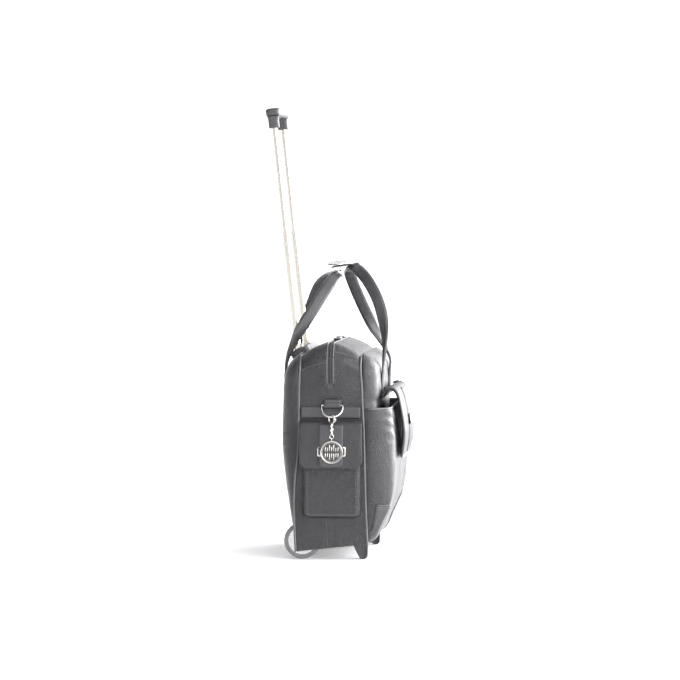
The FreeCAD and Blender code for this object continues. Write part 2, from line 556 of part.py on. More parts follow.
# Side pockets and flaps on the two ends; outward distance from the gusset is u.
SIDE_FLAP = [(211.3, 249), (221, 245.5), (225, 240.5), (225, 166)]
RING_Y = -4.5
fixed = {"side_pockets": [], "gusset_bands": []}
for side, k in (("left", -1), ("right", 1)):
    tray = solid_box(210, 220, -55, 50, 76, 236)
    tray = tray.makeFillet(4, [e for e in tray.Edges if abs(e.CenterOfMass.x - 220) < 1e-6 and e.CenterOfMass.z < 200])
    tray = tray.cut(solid_box(205, 217.6, -52.6, 47.6, 78.4, 240))
    skin = SIDE_FLAP + offset(SIDE_FLAP, 3)[::-1]
    skin = [(u, z) for u, z in skin if u > 0]
    flap_s = prism(SIDE_FLAP + [(222, 166), (222, 239.4), (219.6, 242.4), (211.3, 246)], "xz", -56.5, 52)
    strap_s = prism([(225, 238), (225, 168), (226.4, 168), (226.4, 238)], "xz", -24.5, 18.5)
    clasp = solid_box(226.4, 229.2, -30, 22, 189, 205).cut(solid_box(226, 227.8, -24.7, 18.7, 180, 210))
    for shape, name in ((Part.makeCompound([flap_s, strap_s]), "side_flap_"), (clasp, "side_clasp_")):
        if k < 0:
            shape = shape.mirror(V(0, 0, 0), V(1, 0, 0))
        out(feature(name + "shape_" + side, shape), name + side)
    fixed["side_pockets"].append(tray if k > 0 else tray.mirror(V(0, 0, 0), V(1, 0, 0)))
    fixed["gusset_bands"].append(solid_box(k * 211 - 1, k * 211 + 1, -52, 52, 256, 290))
    tab = solid_box(212, 219.2, RING_Y - 15, RING_Y + 15, 272, 289.5).cut(Part.makeCylinder(D["ring_r"] + 0.05, 60, V(D["ring_x"], RING_Y - 30, D["ring_z"]), V(0, 1, 0)))
    bar = Part.makeCylinder(D["ring_r"], 2 * D["ring_half"], V(0, -D["ring_half"], 0), V(0, 1, 0))
    h, w = D["ring_drop"], D["ring_half"]
    rad = (w * w + h * h) / (2 * h)
    arc = Part.Wire([Part.Arc(V(0, -w, 0), V(0, 0, -h), V(0, w, 0)).toShape()])
    ring = bar.fuse([pipe(arc, D["ring_r"]), Part.makeSphere(D["ring_r"], V(0, w, 0)), Part.makeSphere(D["ring_r"], V(0, -w, 0))])
    ring.Placement = Placement(V(D["ring_x"], RING_Y, D["ring_z"]), Rotation(V(0, 1, 0), -38 if k < 0 else 0))
    fixed["gusset_bands"].append(tab if k > 0 else tab.mirror(V(0, 0, 0), V(1, 0, 0)))
    out(feature("d_ring_shape_" + side, ring if k > 0 else ring.mirror(V(0, 0, 0), V(1, 0, 0))), "d_ring_" + side)
for name, shapes in fixed.items():
    out(feature(name + "_shape", Part.makeCompound(shapes)), name)

# Key clip and charm on the left D-ring. The hook hangs on the ring's lowest wire.
a = math.radians(38)
wx, wz = -(D["ring_x"] + D["ring_drop"] * math.sin(a)), D["ring_z"] - D["ring_drop"] * math.cos(a)
hook_z = wz - 4.2
turn = Rotation(V(0, 0, 1), 42)
hook = Part.makeTorus(8.0, 1.7, V(0, 0, 0), V(0, 1, 0))
hook.Placement = Placement(V(wx, RING_Y, hook_z), turn)
neck = Part.makeCone(3.4, 2.6, 18, V(wx, RING_Y, hook_z - 27.0), V(0, 0, 1))
eye_z = hook_z - 30.9
eye = Part.makeTorus(3.6, 1.1, V(wx, RING_Y, eye_z), V(1, 0, 0))
out(feature("clip_hook_shape", hook.fuse([neck, eye])), "clip_hook")
lever = Part.makeBox(2.2, 2.8, 6, V(-1.1, 10.3, -4))
lever.Placement = Placement(V(wx, RING_Y, hook_z), Rotation(V(0, 0, 1), 42 + 90))
out(feature("clip_lever_shape", lever), "clip_lever")
link_z = eye_z - 5.0
link = Part.makeTorus(3.4, 0.8, V(wx, RING_Y, link_z), V(0, 1, 0))
charm_z = link_z - 3.4 - 0.8 - D["charm_r"] + 1.4
disc = Part.makeCylinder(D["charm_r"], D["charm_t"], V(wx - D["charm_t"] / 2, RING_Y, charm_z), V(1, 0, 0))
disc = disc.cut(Part.makeCylinder(D["charm_r"] - 2.6, 0.9, V(wx - D["charm_t"] / 2 - 0.01, RING_Y, charm_z), V(1, 0, 0)))
out(feature("charm_shape", disc.fuse(link)), "charm")

# Carry handles: rolled leather loops, their sewn ends, the tab that joins them and its medallion.
def run_wire(points, share=0.45):
    """Straight runs joined by tangent arcs; each arc's radius is share of its shorter run over the tangent of half the turn."""
    p = [V(*q) for q in points]
    edges, start = [], p[0]
    for i in range(1, len(p) - 1):
        u, w = (p[i - 1] - p[i]), (p[i + 1] - p[i])
        back = share * min(u.Length, w.Length)
        u.normalize()
        w.normalize()
        a0, a1 = p[i] + u * back, p[i] + w * back
        half = math.acos(max(-1, min(1, u.dot(w)))) / 2
        mid_dir = (u + w)
        radius = back * math.tan(half)
        mid_dir.normalize()
        centre = p[i] + mid_dir * (back / math.cos(half))
        m = centre - mid_dir * radius
        if (a0 - start).Length > 1e-6:
            edges.append(Part.makeLine(start, a0))
        edges.append(Part.Arc(a0, m, a1).toShape())
        start = a1
    edges.append(Part.makeLine(start, p[-1]))
    return Part.Wire(edges)


FRONT_LOOP = [(-101, -88.5, 349), (-103, -91, 386), (-103.5, -90, 424), (-94, -80, 463), (-70, -61, 498), (-34, -40, 520), (0, -26, 526), (34, -17, 518), (62, -22, 494), (84, -36, 458), (97, -55, 416), (101, -73, 380), (101, -88.5, 349)]
REAR_LOOP = [(-113, 89.5, 345), (-115, 80, 378), (-115, 65, 408), (-111, 47, 438), (-96, 29, 468), (-66, 13, 494), (-32, 4, 509), (0, 2, 512), (32, 8, 511), (64, 24, 506), (90, 43, 490), (106, 57, 462), (113, 71, 424), (115, 83, 384), (113, 89.5, 345)]
fh = pipe(run_wire(FRONT_LOOP), D["handle_r"])
rh = pipe(run_wire(REAR_LOOP), D["handle_r"])
keeper = Part.makeCylinder(8.6, 26, V(-13, -26, 523.2), V(1, 0, 0)).cut(fh)
keeper = max(keeper.Solids, key=lambda q: q.Volume)
out(feature("front_handle_shape", Part.makeCompound([fh, keeper])), "front_handle")
out(feature("rear_handle_shape", rh), "rear_handle")
ends = []
for k in (-1, 1):
    ends.append(solid_box(k * 101 - 9, k * 101 + 9, -87.2, -83.1, 298, 341.5).cut(front_out))
    ends.append(solid_box(k * 113 - 9, k * 113 + 9, 85.1, 89.2, 290, 337.5).cut(rear_out))
out(feature("handle_anchor_shape", Part.makeCompound(ends)), "handle_anchors")
tab = prism([(-18.5, 528.2), (-18.5, 531.4), (12, 527.4), (15, 524.8), (12, 524.0)], "yz", -15, 15)
out(feature("handle_tab_shape", tab), "handle_tab")
med = Part.makeCone(15, 18.5, 1.6, V(0, 3.4, 531.6), V(0, 0, 1)).fuse([Part.makeCylinder(18.5, 1.0, V(0, 3.4, 533.2)), Part.makeCylinder(4, 5, V(0, 3.4, 526.7))]).cut(tab)
out(feature("medallion_shape", max(med.Solids, key=lambda q: q.Volume)), "handle_medallion")
snap = Part.makeCylinder(6.5, 4.3, V(0, 2, 518.2 - 1.6)).cut(rh).cut(Part.makeBox(60, 60, 20, V(-30, -30, 521.6)))
out(feature("snap_shape", max(snap.Solids, key=lambda q: q.Volume)), "snap_stud")

doc.recompute()
bad = [o.Name for o in doc.Objects if any(f in o.State for f in ("Invalid", "Error"))]
if bad:
    raise SystemExit("failed objects: %s" % bad)
box_all = FreeCAD.BoundBox()
os.makedirs("parts", exist_ok=True)
for old in os.listdir("parts"):
    if old.endswith(".step"):
        os.remove(os.path.join("parts", old))
for o in PARTS:
    if o.Shape.isNull() or not o.Shape.isValid() or not o.Shape.Solids:
        raise SystemExit("bad shape: " + o.Label)
    if any(q.Volume <= 0 for q in o.Shape.Solids):
        raise SystemExit("no volume: " + o.Label)
    o.Shape.exportStep("parts/%s.step" % o.Label)
    box_all.add(o.Shape.BoundBox)
print(len(PARTS), "sub-parts; box", box_all)
print("centre", (box_all.XMin + box_all.XMax) / 2, (box_all.YMin + box_all.YMax) / 2, "low", box_all.ZMin)
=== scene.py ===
import math
import bpy
import numpy as np
from mathutils import Vector, Matrix, noise


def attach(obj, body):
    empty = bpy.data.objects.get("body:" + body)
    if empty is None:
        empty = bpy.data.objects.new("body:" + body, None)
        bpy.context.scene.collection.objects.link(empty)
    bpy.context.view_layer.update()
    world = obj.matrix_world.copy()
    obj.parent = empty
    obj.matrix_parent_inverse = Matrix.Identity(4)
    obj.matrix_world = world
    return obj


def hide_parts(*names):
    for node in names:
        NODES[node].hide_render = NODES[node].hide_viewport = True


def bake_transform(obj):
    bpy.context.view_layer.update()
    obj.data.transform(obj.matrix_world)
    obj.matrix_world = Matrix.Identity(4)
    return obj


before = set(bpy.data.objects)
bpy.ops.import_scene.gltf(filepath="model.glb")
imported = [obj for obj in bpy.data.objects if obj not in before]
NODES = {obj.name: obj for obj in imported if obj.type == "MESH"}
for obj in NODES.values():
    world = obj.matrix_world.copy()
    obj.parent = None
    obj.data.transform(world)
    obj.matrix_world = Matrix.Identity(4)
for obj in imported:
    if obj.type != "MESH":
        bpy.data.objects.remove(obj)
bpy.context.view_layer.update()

# Design millimetres to the row frame in metres.
OX, OY = 6.29, 3.51


def M(p):
    return ((p[0] + OX) / 1000, (p[1] + OY) / 1000, p[2] / 1000)


def lerp(a, b, t):
    return a + (b - a) * t


def smooth(t):
    t = max(0.0, min(1.0, t))
    return t * t * (3 - 2 * t)


def curve(table):
    """A smooth (monotone cubic) function through (x, y) pairs."""
    xs = np.array([p[0] for p in table], float)
    ys = np.array([p[1] for p in table], float)
    h = np.diff(xs)
    d = np.diff(ys) / h
    m = np.zeros(len(xs))
    m[0], m[-1] = d[0], d[-1]
    for i in range(1, len(xs) - 1):
        m[i] = 0 if d[i - 1] * d[i] <= 0 else 3 * (h[i - 1] + h[i]) / ((2 * h[i] + h[i - 1]) / d[i - 1] + (h[i] + 2 * h[i - 1]) / d[i])

    def f(x):
        if x <= xs[0]:
            return float(ys[0])
        if x >= xs[-1]:
            return float(ys[-1])
        i = int(np.searchsorted(xs, x) - 1)
        t = (x - xs[i]) / h[i]
        return float((2 * t**3 - 3 * t**2 + 1) * ys[i] + (t**3 - 2 * t**2 + t) * h[i] * m[i] + (-2 * t**3 + 3 * t**2) * ys[i + 1] + (t**3 - t**2) * h[i] * m[i + 1])

    return f


def rumple(p, size, amount, seed=0.0):
    """Soft, low noise for leather that isn't perfectly flat."""
    q = Vector((p[0] / size + seed, p[1] / size - seed, p[2] / size + 0.37 * seed))
    return amount * noise.noise(q)


# ---------------------------------------------------------------- materials
def new_mat(name):
    m = bpy.data.materials.new(name)
    m.use_nodes = True
    n = m.node_tree.nodes
    b = n["Principled BSDF"]
    return m, n, m.node_tree.links, b


def leather(name, base=(0.028, 0.028, 0.031), light=(0.05, 0.05, 0.056), rough=(0.36, 0.5), grain=1.0, bump=0.35, scale=780.0, coat=0.12, sheen=0.0):
    m, n, l, b = new_mat(name)
    tc = n.new("ShaderNodeTexCoord")
    warp = n.new("ShaderNodeTexNoise")
    warp.inputs["Scale"].default_value = scale * 0.45
    warp.inputs["Detail"].default_value = 2
    l.new(tc.outputs["Object"], warp.inputs["Vector"])
    mixv = n.new("ShaderNodeMixRGB")
    mixv.blend_type = "ADD"
    mixv.inputs[0].default_value = 0.0012
    l.new(tc.outputs["Object"], mixv.inputs[1])
    l.new(warp.outputs["Color"], mixv.inputs[2])
    v = n.new("ShaderNodeTexVoronoi")
    v.feature = "DISTANCE_TO_EDGE"
    v.inputs["Scale"].default_value = scale
    v.inputs["Randomness"].default_value = 0.9
    l.new(mixv.outputs[0], v.inputs["Vector"])
    crease = n.new("ShaderNodeMapRange")
    crease.inputs[1].default_value = 0.0
    crease.inputs[2].default_value = 0.22
    crease.interpolation_type = "SMOOTHSTEP"
    l.new(v.outputs["Distance"], crease.inputs[0])
    v2 = n.new("ShaderNodeTexVoronoi")
    v2.inputs["Scale"].default_value = scale
    v2.inputs["Randomness"].default_value = 0.9
    l.new(mixv.outputs[0], v2.inputs["Vector"])
    big = n.new("ShaderNodeTexNoise")
    big.inputs["Scale"].default_value = 42
    big.inputs["Detail"].default_value = 5
    big.inputs["Roughness"].default_value = 0.65
    l.new(tc.outputs["Object"], big.inputs["Vector"])
    fine = n.new("ShaderNodeTexNoise")
    fine.inputs["Scale"].default_value = scale * 2.6
    fine.inputs["Detail"].default_value = 3
    l.new(tc.outputs["Object"], fine.inputs["Vector"])
    h1 = n.new("ShaderNodeMath")
    h1.operation = "MULTIPLY_ADD"
    h1.inputs[1].default_value = 0.25
    l.new(v2.outputs["Distance"], h1.inputs[0])
    l.new(crease.outputs[0], h1.inputs[2])
    h2 = n.new("ShaderNodeMath")
    h2.operation = "MULTIPLY_ADD"
    h2.inputs[1].default_value = 0.18
    l.new(fine.outputs["Fac"], h2.inputs[0])
    l.new(h1.outputs[0], h2.inputs[2])
    bp = n.new("ShaderNodeBump")
    bp.inputs["Strength"].default_value = bump
    bp.inputs["Distance"].default_value = 0.00035 * grain
    l.new(h2.outputs[0], bp.inputs["Height"])
    bp2 = n.new("ShaderNodeBump")
    bp2.inputs["Strength"].default_value = 0.25
    bp2.inputs["Distance"].default_value = 0.0045
    l.new(big.outputs["Fac"], bp2.inputs["Height"])
    l.new(bp2.outputs[0], bp.inputs["Normal"])
    l.new(bp.outputs[0], b.inputs["Normal"])
    ramp = n.new("ShaderNodeMapRange")
    ramp.inputs[1].default_value = 0.35
    ramp.inputs[2].default_value = 0.7
    l.new(big.outputs["Fac"], ramp.inputs[0])
    tone = n.new("ShaderNodeMath")
    tone.operation = "MULTIPLY"
    l.new(ramp.outputs[0], tone.inputs[0])
    l.new(crease.outputs[0], tone.inputs[1])
    col = n.new("ShaderNodeMixRGB")
    col.inputs[1].default_value = (*base, 1)
    col.inputs[2].default_value = (*light, 1)
    l.new(tone.outputs[0], col.inputs[0])
    l.new(col.outputs[0], b.inputs["Base Color"])
    r = n.new("ShaderNodeMapRange")
    r.inputs[3].default_value = rough[1]
    r.inputs[4].default_value = rough[0]
    l.new(tone.outputs[0], r.inputs[0])
    l.new(r.outputs[0], b.inputs["Roughness"])
    b.inputs["Specular IOR Level"].default_value = 0.55
    b.inputs["Coat Weight"].default_value = coat
    b.inputs["Coat Roughness"].default_value = 0.32
    return m


def plain(name, color, rough, metal=0.0, bump=0.0, scale=900.0, vary=0.25, coat=0.0, spec=0.5, aniso=0.0, stretch=None, rvary=0.08):
    m, n, l, b = new_mat(name)
    tc = n.new("ShaderNodeTexCoord")
    src = tc.outputs["Object"]
    if stretch:
        mp = n.new("ShaderNodeMapping")
        mp.inputs["Scale"].default_value = stretch
        l.new(src, mp.inputs["Vector"])
        src = mp.outputs[0]
    t = n.new("ShaderNodeTexNoise")
    t.inputs["Scale"].default_value = scale
    t.inputs["Detail"].default_value = 4
    l.new(src, t.inputs["Vector"])
    big = n.new("ShaderNodeTexNoise")
    big.inputs["Scale"].default_value = 30
    big.inputs["Detail"].default_value = 3
    l.new(src, big.inputs["Vector"])
    mix = n.new("ShaderNodeMixRGB")
    mix.inputs[1].default_value = (*[c * (1 - vary * 0.5) for c in color], 1)
    mix.inputs[2].default_value = (*[min(1, c * (1 + vary * 0.5)) for c in color], 1)
    l.new(big.outputs["Fac"], mix.inputs[0])
    l.new(mix.outputs[0], b.inputs["Base Color"])
    r = n.new("ShaderNodeMapRange")
    r.inputs[1].default_value = 0.3
    r.inputs[2].default_value = 0.7
    r.inputs[3].default_value = max(0.02, rough - rvary)
    r.inputs[4].default_value = min(1, rough + rvary)
    l.new(t.outputs["Fac"], r.inputs[0])
    l.new(r.outputs[0], b.inputs["Roughness"])
    if bump:
        bp = n.new("ShaderNodeBump")
        bp.inputs["Strength"].default_value = bump
        bp.inputs["Distance"].default_value = 0.0002
        l.new(t.outputs["Fac"], bp.inputs["Height"])
        l.new(bp.outputs[0], b.inputs["Normal"])
    b.inputs["Metallic"].default_value = metal
    b.inputs["Coat Weight"].default_value = coat
    b.inputs["Specular IOR Level"].default_value = spec
    b.inputs["Anisotropic"].default_value = aniso
    return m


def weave(name, c1, c2, scale=2600.0, rough=0.75):
    m, n, l, b = new_mat(name)
    tc = n.new("ShaderNodeTexCoord")
    w1 = n.new("ShaderNodeTexWave")
    w1.bands_direction = "X"
    w1.inputs["Scale"].default_value = scale / 6.2
    w2 = n.new("ShaderNodeTexWave")
    w2.bands_direction = "Z"
    w2.inputs["Scale"].default_value = scale / 6.2
    w3 = n.new("ShaderNodeTexWave")
    w3.bands_direction = "Y"
    w3.inputs["Scale"].default_value = scale / 6.2
    for w in (w1, w2, w3):
        w.inputs["Distortion"].default_value = 0.4
        l.new(tc.outputs["Object"], w.inputs["Vector"])
    a = n.new("ShaderNodeMath")
    a.operation = "MULTIPLY"
    l.new(w1.outputs["Fac"], a.inputs[0])
    l.new(w2.outputs["Fac"], a.inputs[1])
    c = n.new("ShaderNodeMath")
    c.operation = "ADD"
    l.new(a.outputs[0], c.inputs[0])
    l.new(w3.outputs["Fac"], c.inputs[1])
    mix = n.new("ShaderNodeMixRGB")
    mix.inputs[1].default_value = (*c1, 1)
    mix.inputs[2].default_value = (*c2, 1)
    l.new(c.outputs[0], mix.inputs[0])
    l.new(mix.outputs[0], b.inputs["Base Color"])
    bp = n.new("ShaderNodeBump")
    bp.inputs["Strength"].default_value = 0.5
    bp.inputs["Distance"].default_value = 0.0002
    l.new(c.outputs[0], bp.inputs["Height"])
    l.new(bp.outputs[0], b.inputs["Normal"])
    b.inputs["Roughness"].default_value = rough
    b.inputs["Sheen Weight"].default_value = 0.15
    return m


LEATHER = leather("pebbled_leather", base=(0.010, 0.010, 0.0112), light=(0.030, 0.030, 0.034), rough=(0.26, 0.45), scale=400, bump=1.0, grain=4.0, coat=0.35)
STRAP = leather("strap_leather", base=(0.022, 0.022, 0.024), light=(0.04, 0.04, 0.044), rough=(0.34, 0.48), scale=950, bump=0.25, grain=0.8)
EDGE = plain("painted_edge", (0.035, 0.035, 0.038), 0.3, bump=0.15, scale=400, vary=0.3, coat=0.3)
PIPING = leather("piping_leather", base=(0.05, 0.05, 0.054), light=(0.09, 0.09, 0.096), rough=(0.26, 0.36), scale=900, bump=0.15, grain=0.6, coat=0.35)
INNER = weave("lining_cloth", (0.03, 0.03, 0.032), (0.09, 0.09, 0.095))
THREAD = plain("thread", (0.10, 0.10, 0.105), 0.5, bump=0.3, scale=3000, vary=0.4)
TAPE = weave("zip_tape", (0.016, 0.016, 0.018), (0.045, 0.042, 0.045))
TEETH = plain("zip_teeth", (0.03, 0.028, 0.03), 0.3, vary=0.3, coat=0.2)
PLASTIC = plain("moulded_plastic", (0.035, 0.035, 0.038), 0.42, bump=0.35, scale=1500, vary=0.2, coat=0.05)
RUBBER = plain("tyre_rubber", (0.20, 0.20, 0.205), 0.5, bump=0.2, scale=700, vary=0.15)
DISC = plain("silver_disc", (0.80, 0.80, 0.82), 0.28, metal=0.35, bump=0.08, scale=1600, vary=0.06, coat=0.3)
TUBE = plain("brushed_champagne", (0.56, 0.535, 0.49), 0.2, metal=1.0, bump=0.05, scale=420, vary=0.05, aniso=0.3, stretch=(6.0, 6.0, 0.15), rvary=0.04)
STEEL = plain("zinc_steel", (0.62, 0.62, 0.63), 0.32, metal=1.0, bump=0.1, scale=800, vary=0.1)
NICKEL = plain("polished_nickel", (0.50, 0.49, 0.47), 0.16, metal=1.0, bump=0.04, scale=500, vary=0.12, rvary=0.05)
GUNMETAL = plain("gunmetal", (0.10, 0.097, 0.09), 0.2, metal=1.0, bump=0.05, scale=500, vary=0.3, rvary=0.06)
DARK = plain("dark_enamel", (0.012, 0.011, 0.011), 0.22, bump=0.05, scale=300, vary=0.4, coat=0.5)
FLOOR = plain("floor_white", (0.93, 0.93, 0.93), 0.8, vary=0.005, scale=4, spec=0.1)
FLOOR.node_tree.nodes["Principled BSDF"].inputs["Emission Color"].default_value = (1, 1, 1, 1)
FLOOR.node_tree.nodes["Principled BSDF"].inputs["Emission Strength"].default_value = 0.22

# ---------------------------------------------------------------- mesh helpers
MADE = []


def add(name, verts, faces, mat, body, replaces=(), slot="leather", sharp=None, mats=None, indices=None, ride=True):
    me = bpy.data.meshes.new(name)
    me.from_pydata([M(v) for v in verts], [], faces)
    me.update()
    me.polygons.foreach_set("use_smooth", [True] * len(me.polygons))
    if sharp:
        me.set_sharp_from_angle(angle=math.radians(sharp))
    o = bpy.data.objects.new(name, me)
    bpy.context.scene.collection.objects.link(o)
    for mm in (mats or [mat]):
        me.materials.append(mm)
    if indices is not None:
        me.polygons.foreach_set("material_index", indices)
    if ride:
        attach(o, body)
    if replaces:
        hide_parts(*replaces)
    MADE.append(o)
    return o


def normals(rows, closed=False):
    """Unit normals of a grid of points; rows run along v, columns along u."""
    P = np.array([[tuple(p) for p in r] for r in rows], float)
    if closed:
        du = np.roll(P, -1, 1) - np.roll(P, 1, 1)
    else:
        du = np.gradient(P, axis=1)
    dv = np.gradient(P, axis=0)
    N = np.cross(du, dv)
    L = np.linalg.norm(N, axis=2, keepdims=True)
    L[L < 1e-9] = 1
    return P, N / L


def face_out(verts, faces):
    """Turns a closed solid's faces outward, by the sign of its volume."""
    P = np.array([tuple(v) for v in verts], float)
    vol = 0.0
    for n in (3, 4):
        q = np.array([f for f in faces if len(f) == n], int).reshape(-1, n)
        for i in range(1, n - 1):
            if len(q):
                vol += float(np.einsum("ij,ij->i", P[q[:, 0]], np.cross(P[q[:, i]], P[q[:, i + 1]])).sum())
    return [tuple(reversed(f)) for f in faces] if vol < 0 else faces


def shell(rows, thick, flip=False, closed=False, round_rim=True):
    """A closed solid whose outer face is the grid, and whose inner face lies thick inside it."""
    P, N = normals(rows, closed)
    if flip:
        N = -N
    nv, nu = P.shape[:2]
    verts, faces = [], []
    outer = P.reshape(-1, 3)
    inner = (P - N * thick).reshape(-1, 3)
    verts = [tuple(v) for v in outer] + [tuple(v) for v in inner]
    off = nv * nu

    def q(a, b, c, d):
        faces.append((a, d, c, b) if flip else (a, b, c, d))

    cols = nu if closed else nu - 1
    for j in range(nv - 1):
        for i in range(cols):
            i2 = (i + 1) % nu
            a, b, c, d = j * nu + i, j * nu + i2, (j + 1) * nu + i2, (j + 1) * nu + i
            q(a, b, c, d)
            q(off + a, off + d, off + c, off + b)
    loops = []
    if closed:
        loops = [[(0, i) for i in range(nu)], [(nv - 1, i) for i in range(nu)][::-1]]
    else:
        loops = [[(0, i) for i in range(nu)] + [(j, nu - 1) for j in range(1, nv)] + [(nv - 1, i) for i in range(nu - 2, -1, -1)] + [(j, 0) for j in range(nv - 2, 0, -1)]]
    for loop in loops:
        k = len(loop)
        mids = []
        for (j, i) in loop:
            jj = min(max(j, 1), nv - 2) if nv > 2 else j
            ii = i if closed else (min(max(i, 1), nu - 2) if nu > 2 else i)
            outw = P[j, i] - P[jj, ii]
            ln = np.linalg.norm(outw)
            outw = outw / ln if ln > 1e-9 else outw
            mids.append(P[j, i] - N[j, i] * thick / 2 + outw * thick * (0.42 if round_rim else 0))
        base = len(verts)
        verts += [tuple(m) for m in mids]
        for t in range(k):
            t2 = (t + 1) % k
            a, b = loop[t][0] * nu + loop[t][1], loop[t2][0] * nu + loop[t2][1]
            q(b, a, base + t, base + t2)
            q(base + t2, base + t, off + a, off + b)
    return verts, face_out(verts, faces)


def tube(path, r, n=10, closed=False, cap=True, flat=1.0, up=None):
    """A round or oval tube along points."""
    pts = [Vector(p) for p in path]
    k = len(pts)
    rings = []
    prev = None
    for i, p in enumerate(pts):
        a = pts[(i - 1) % k] if (closed or i > 0) else p
        b = pts[(i + 1) % k] if (closed or i < k - 1) else p
        t = (b - a).normalized()
        if prev is None:
            ref = Vector(up) if up else (Vector((0, 0, 1)) if abs(t.z) < 0.9 else Vector((0, 1, 0)))
            s = t.cross(ref).normalized()
        else:
            s = (prev - t * prev.dot(t)).normalized()
        prev = s
        w = t.cross(s)
        rr = r[i] if isinstance(r, (list, tuple)) else r
        rings.append([p + (s * math.cos(2 * math.pi * j / n) + w * math.sin(2 * math.pi * j / n) * flat) * rr for j in range(n)])
    verts = [tuple(v) for ring in rings for v in ring]
    faces = []
    last = k if closed else k - 1
    for i in range(last):
        for j in range(n):
            a, b = i * n + j, i * n + (j + 1) % n
            c, d = ((i + 1) % k) * n + (j + 1) % n, ((i + 1) % k) * n + j
            faces.append((a, d, c, b))
    if cap and not closed:
        c0, c1 = len(verts), len(verts) + 1
        t0 = (pts[0] - pts[1]).normalized()
        t1 = (pts[-1] - pts[-2]).normalized()
        r0 = r[0] if isinstance(r, (list, tuple)) else r
        r1 = r[-1] if isinstance(r, (list, tuple)) else r
        verts += [tuple(pts[0] + t0 * r0 * 0.45), tuple(pts[-1] + t1 * r1 * 0.45)]
        for j in range(n):
            faces.append((c0, j, (j + 1) % n))
            faces.append((c1, (k - 1) * n + (j + 1) % n, (k - 1) * n + j))
    return verts, face_out(verts, faces)


def merge(*parts):
    verts, faces = [], []
    for v, f in parts:
        o = len(verts)
        verts += list(v)
        faces += [tuple(i + o for i in q) for q in f]
    return verts, faces


def resample(path, step, closed=False):
    pts = [Vector(p) for p in path]
    if closed:
        pts.append(pts[0])
    d = [0.0]
    for a, b in zip(pts, pts[1:]):
        d.append(d[-1] + (b - a).length)
    n = max(2, int(round(d[-1] / step)) + 1)
    out = []
    j = 0
    for i in range(n):
        s = d[-1] * i / (n - 1)
        while j < len(d) - 2 and d[j + 1] < s:
            j += 1
        t = (s - d[j]) / max(1e-9, d[j + 1] - d[j])
        out.append(pts[j].lerp(pts[j + 1], t))
    return out[:-1] if closed else out


STITCHES = {}


def stitch(path, normal, body, pitch=4.4, length=3.1, width=0.42, height=0.34, lift=0.1, closed=False):
    """Thread stitches along a path on a surface. normal is a vector or a function of a point."""
    pts = resample(path, pitch, closed)
    k = len(pts)
    verts, faces = [], []
    for i, p in enumerate(pts):
        a, b = pts[max(0, i - 1)], pts[min(k - 1, i + 1)]
        t = (b - a)
        if t.length < 1e-6:
            continue
        t.normalize()
        nn = Vector(normal(p) if callable(normal) else normal)
        nn = (nn - t * nn.dot(t)).normalized()
        s = nn.cross(t)
        base = len(verts)
        c = p + nn * lift
        for u, w in ((-0.5, 0.25), (-0.36, 1.0), (0.36, 1.0), (0.5, 0.25)):
            for ang in range(6):
                th = 2 * math.pi * ang / 6
                verts.append(tuple(c + t * (u * length) + s * (math.cos(th) * width * w) + nn * (math.sin(th) * height * w)))
        for ring in range(3):
            for j in range(6):
                a0, b0 = base + ring * 6 + j, base + ring * 6 + (j + 1) % 6
                faces.append((a0, a0 + 6, b0 + 6, b0))
        faces.append(tuple(base + j for j in range(6)))
        faces.append(tuple(base + 18 + j for j in range(5, -1, -1)))
    STITCHES.setdefault(body, []).append((verts, faces))


def rounded_rect(hx, z0, z1, r, n=320, low=None):
    """Points of a rounded rectangle in X and Z, anticlockwise from +X, evenly by length."""
    cz = (z0 + z1) / 2
    hz = (z1 - z0) / 2
    pts = []
    b = r if low is None else low
    for cx, cy, a0, q in ((hx - r, hz - r, 0, r), (-hx + r, hz - r, 90, r), (-hx + b, -hz + b, 180, b), (hx - b, -hz + b, 270, b)):
        for i in range(17):
            a = math.radians(a0 + 90 * i / 16)
            pts.append((cx + q * math.cos(a), 0, cz + cy + q * math.sin(a)))
    return [(p.x, p.z) for p in resample(pts, 2 * (2 * hx + 2 * hz) / n, closed=True)]


def rect_depth(x, z, hx, z0, z1, r, low=None):
    """Distance inside a rounded rectangle's edge. low is the radius of its two lower corners."""
    if low is not None and z < (z0 + z1) / 2:
        r = low
    cz, hz = (z0 + z1) / 2, (z1 - z0) / 2
    qx, qz = abs(x) - (hx - r), abs(z - cz) - (hz - r)
    out = math.hypot(max(qx, 0), max(qz, 0)) + min(max(qx, qz), 0) - r
    return max(0.0, -out)


# ---------------------------------------------------------------- the case's surfaces
YR = curve([(20, 60.5), (60, 62.5), (105, 63.5), (150, 61.5), (190, 56.5), (230, 54.8), (290, 54.2), (330, 53.8), (350, 53.0), (368, 51.0)])
YF = curve([(26, -65.5), (60, -64), (105, -62), (160, -60.5), (215, -59.0), (250, -58), (290, -56.0), (340, -54.8), (356, -53.8), (368, -52.0)])
ARCH = curve([(-54, 366.5), (-46, 374.0), (-36, 380.0), (-22, 386.5), (-10, 390.6), (0, 391.8), (10, 390.6), (22, 387.0), (36, 381.0), (46, 374.5), (54, 367.5)])
BOT = lambda y: 25 + (30.5 - y) * 0.1069 - 5.0


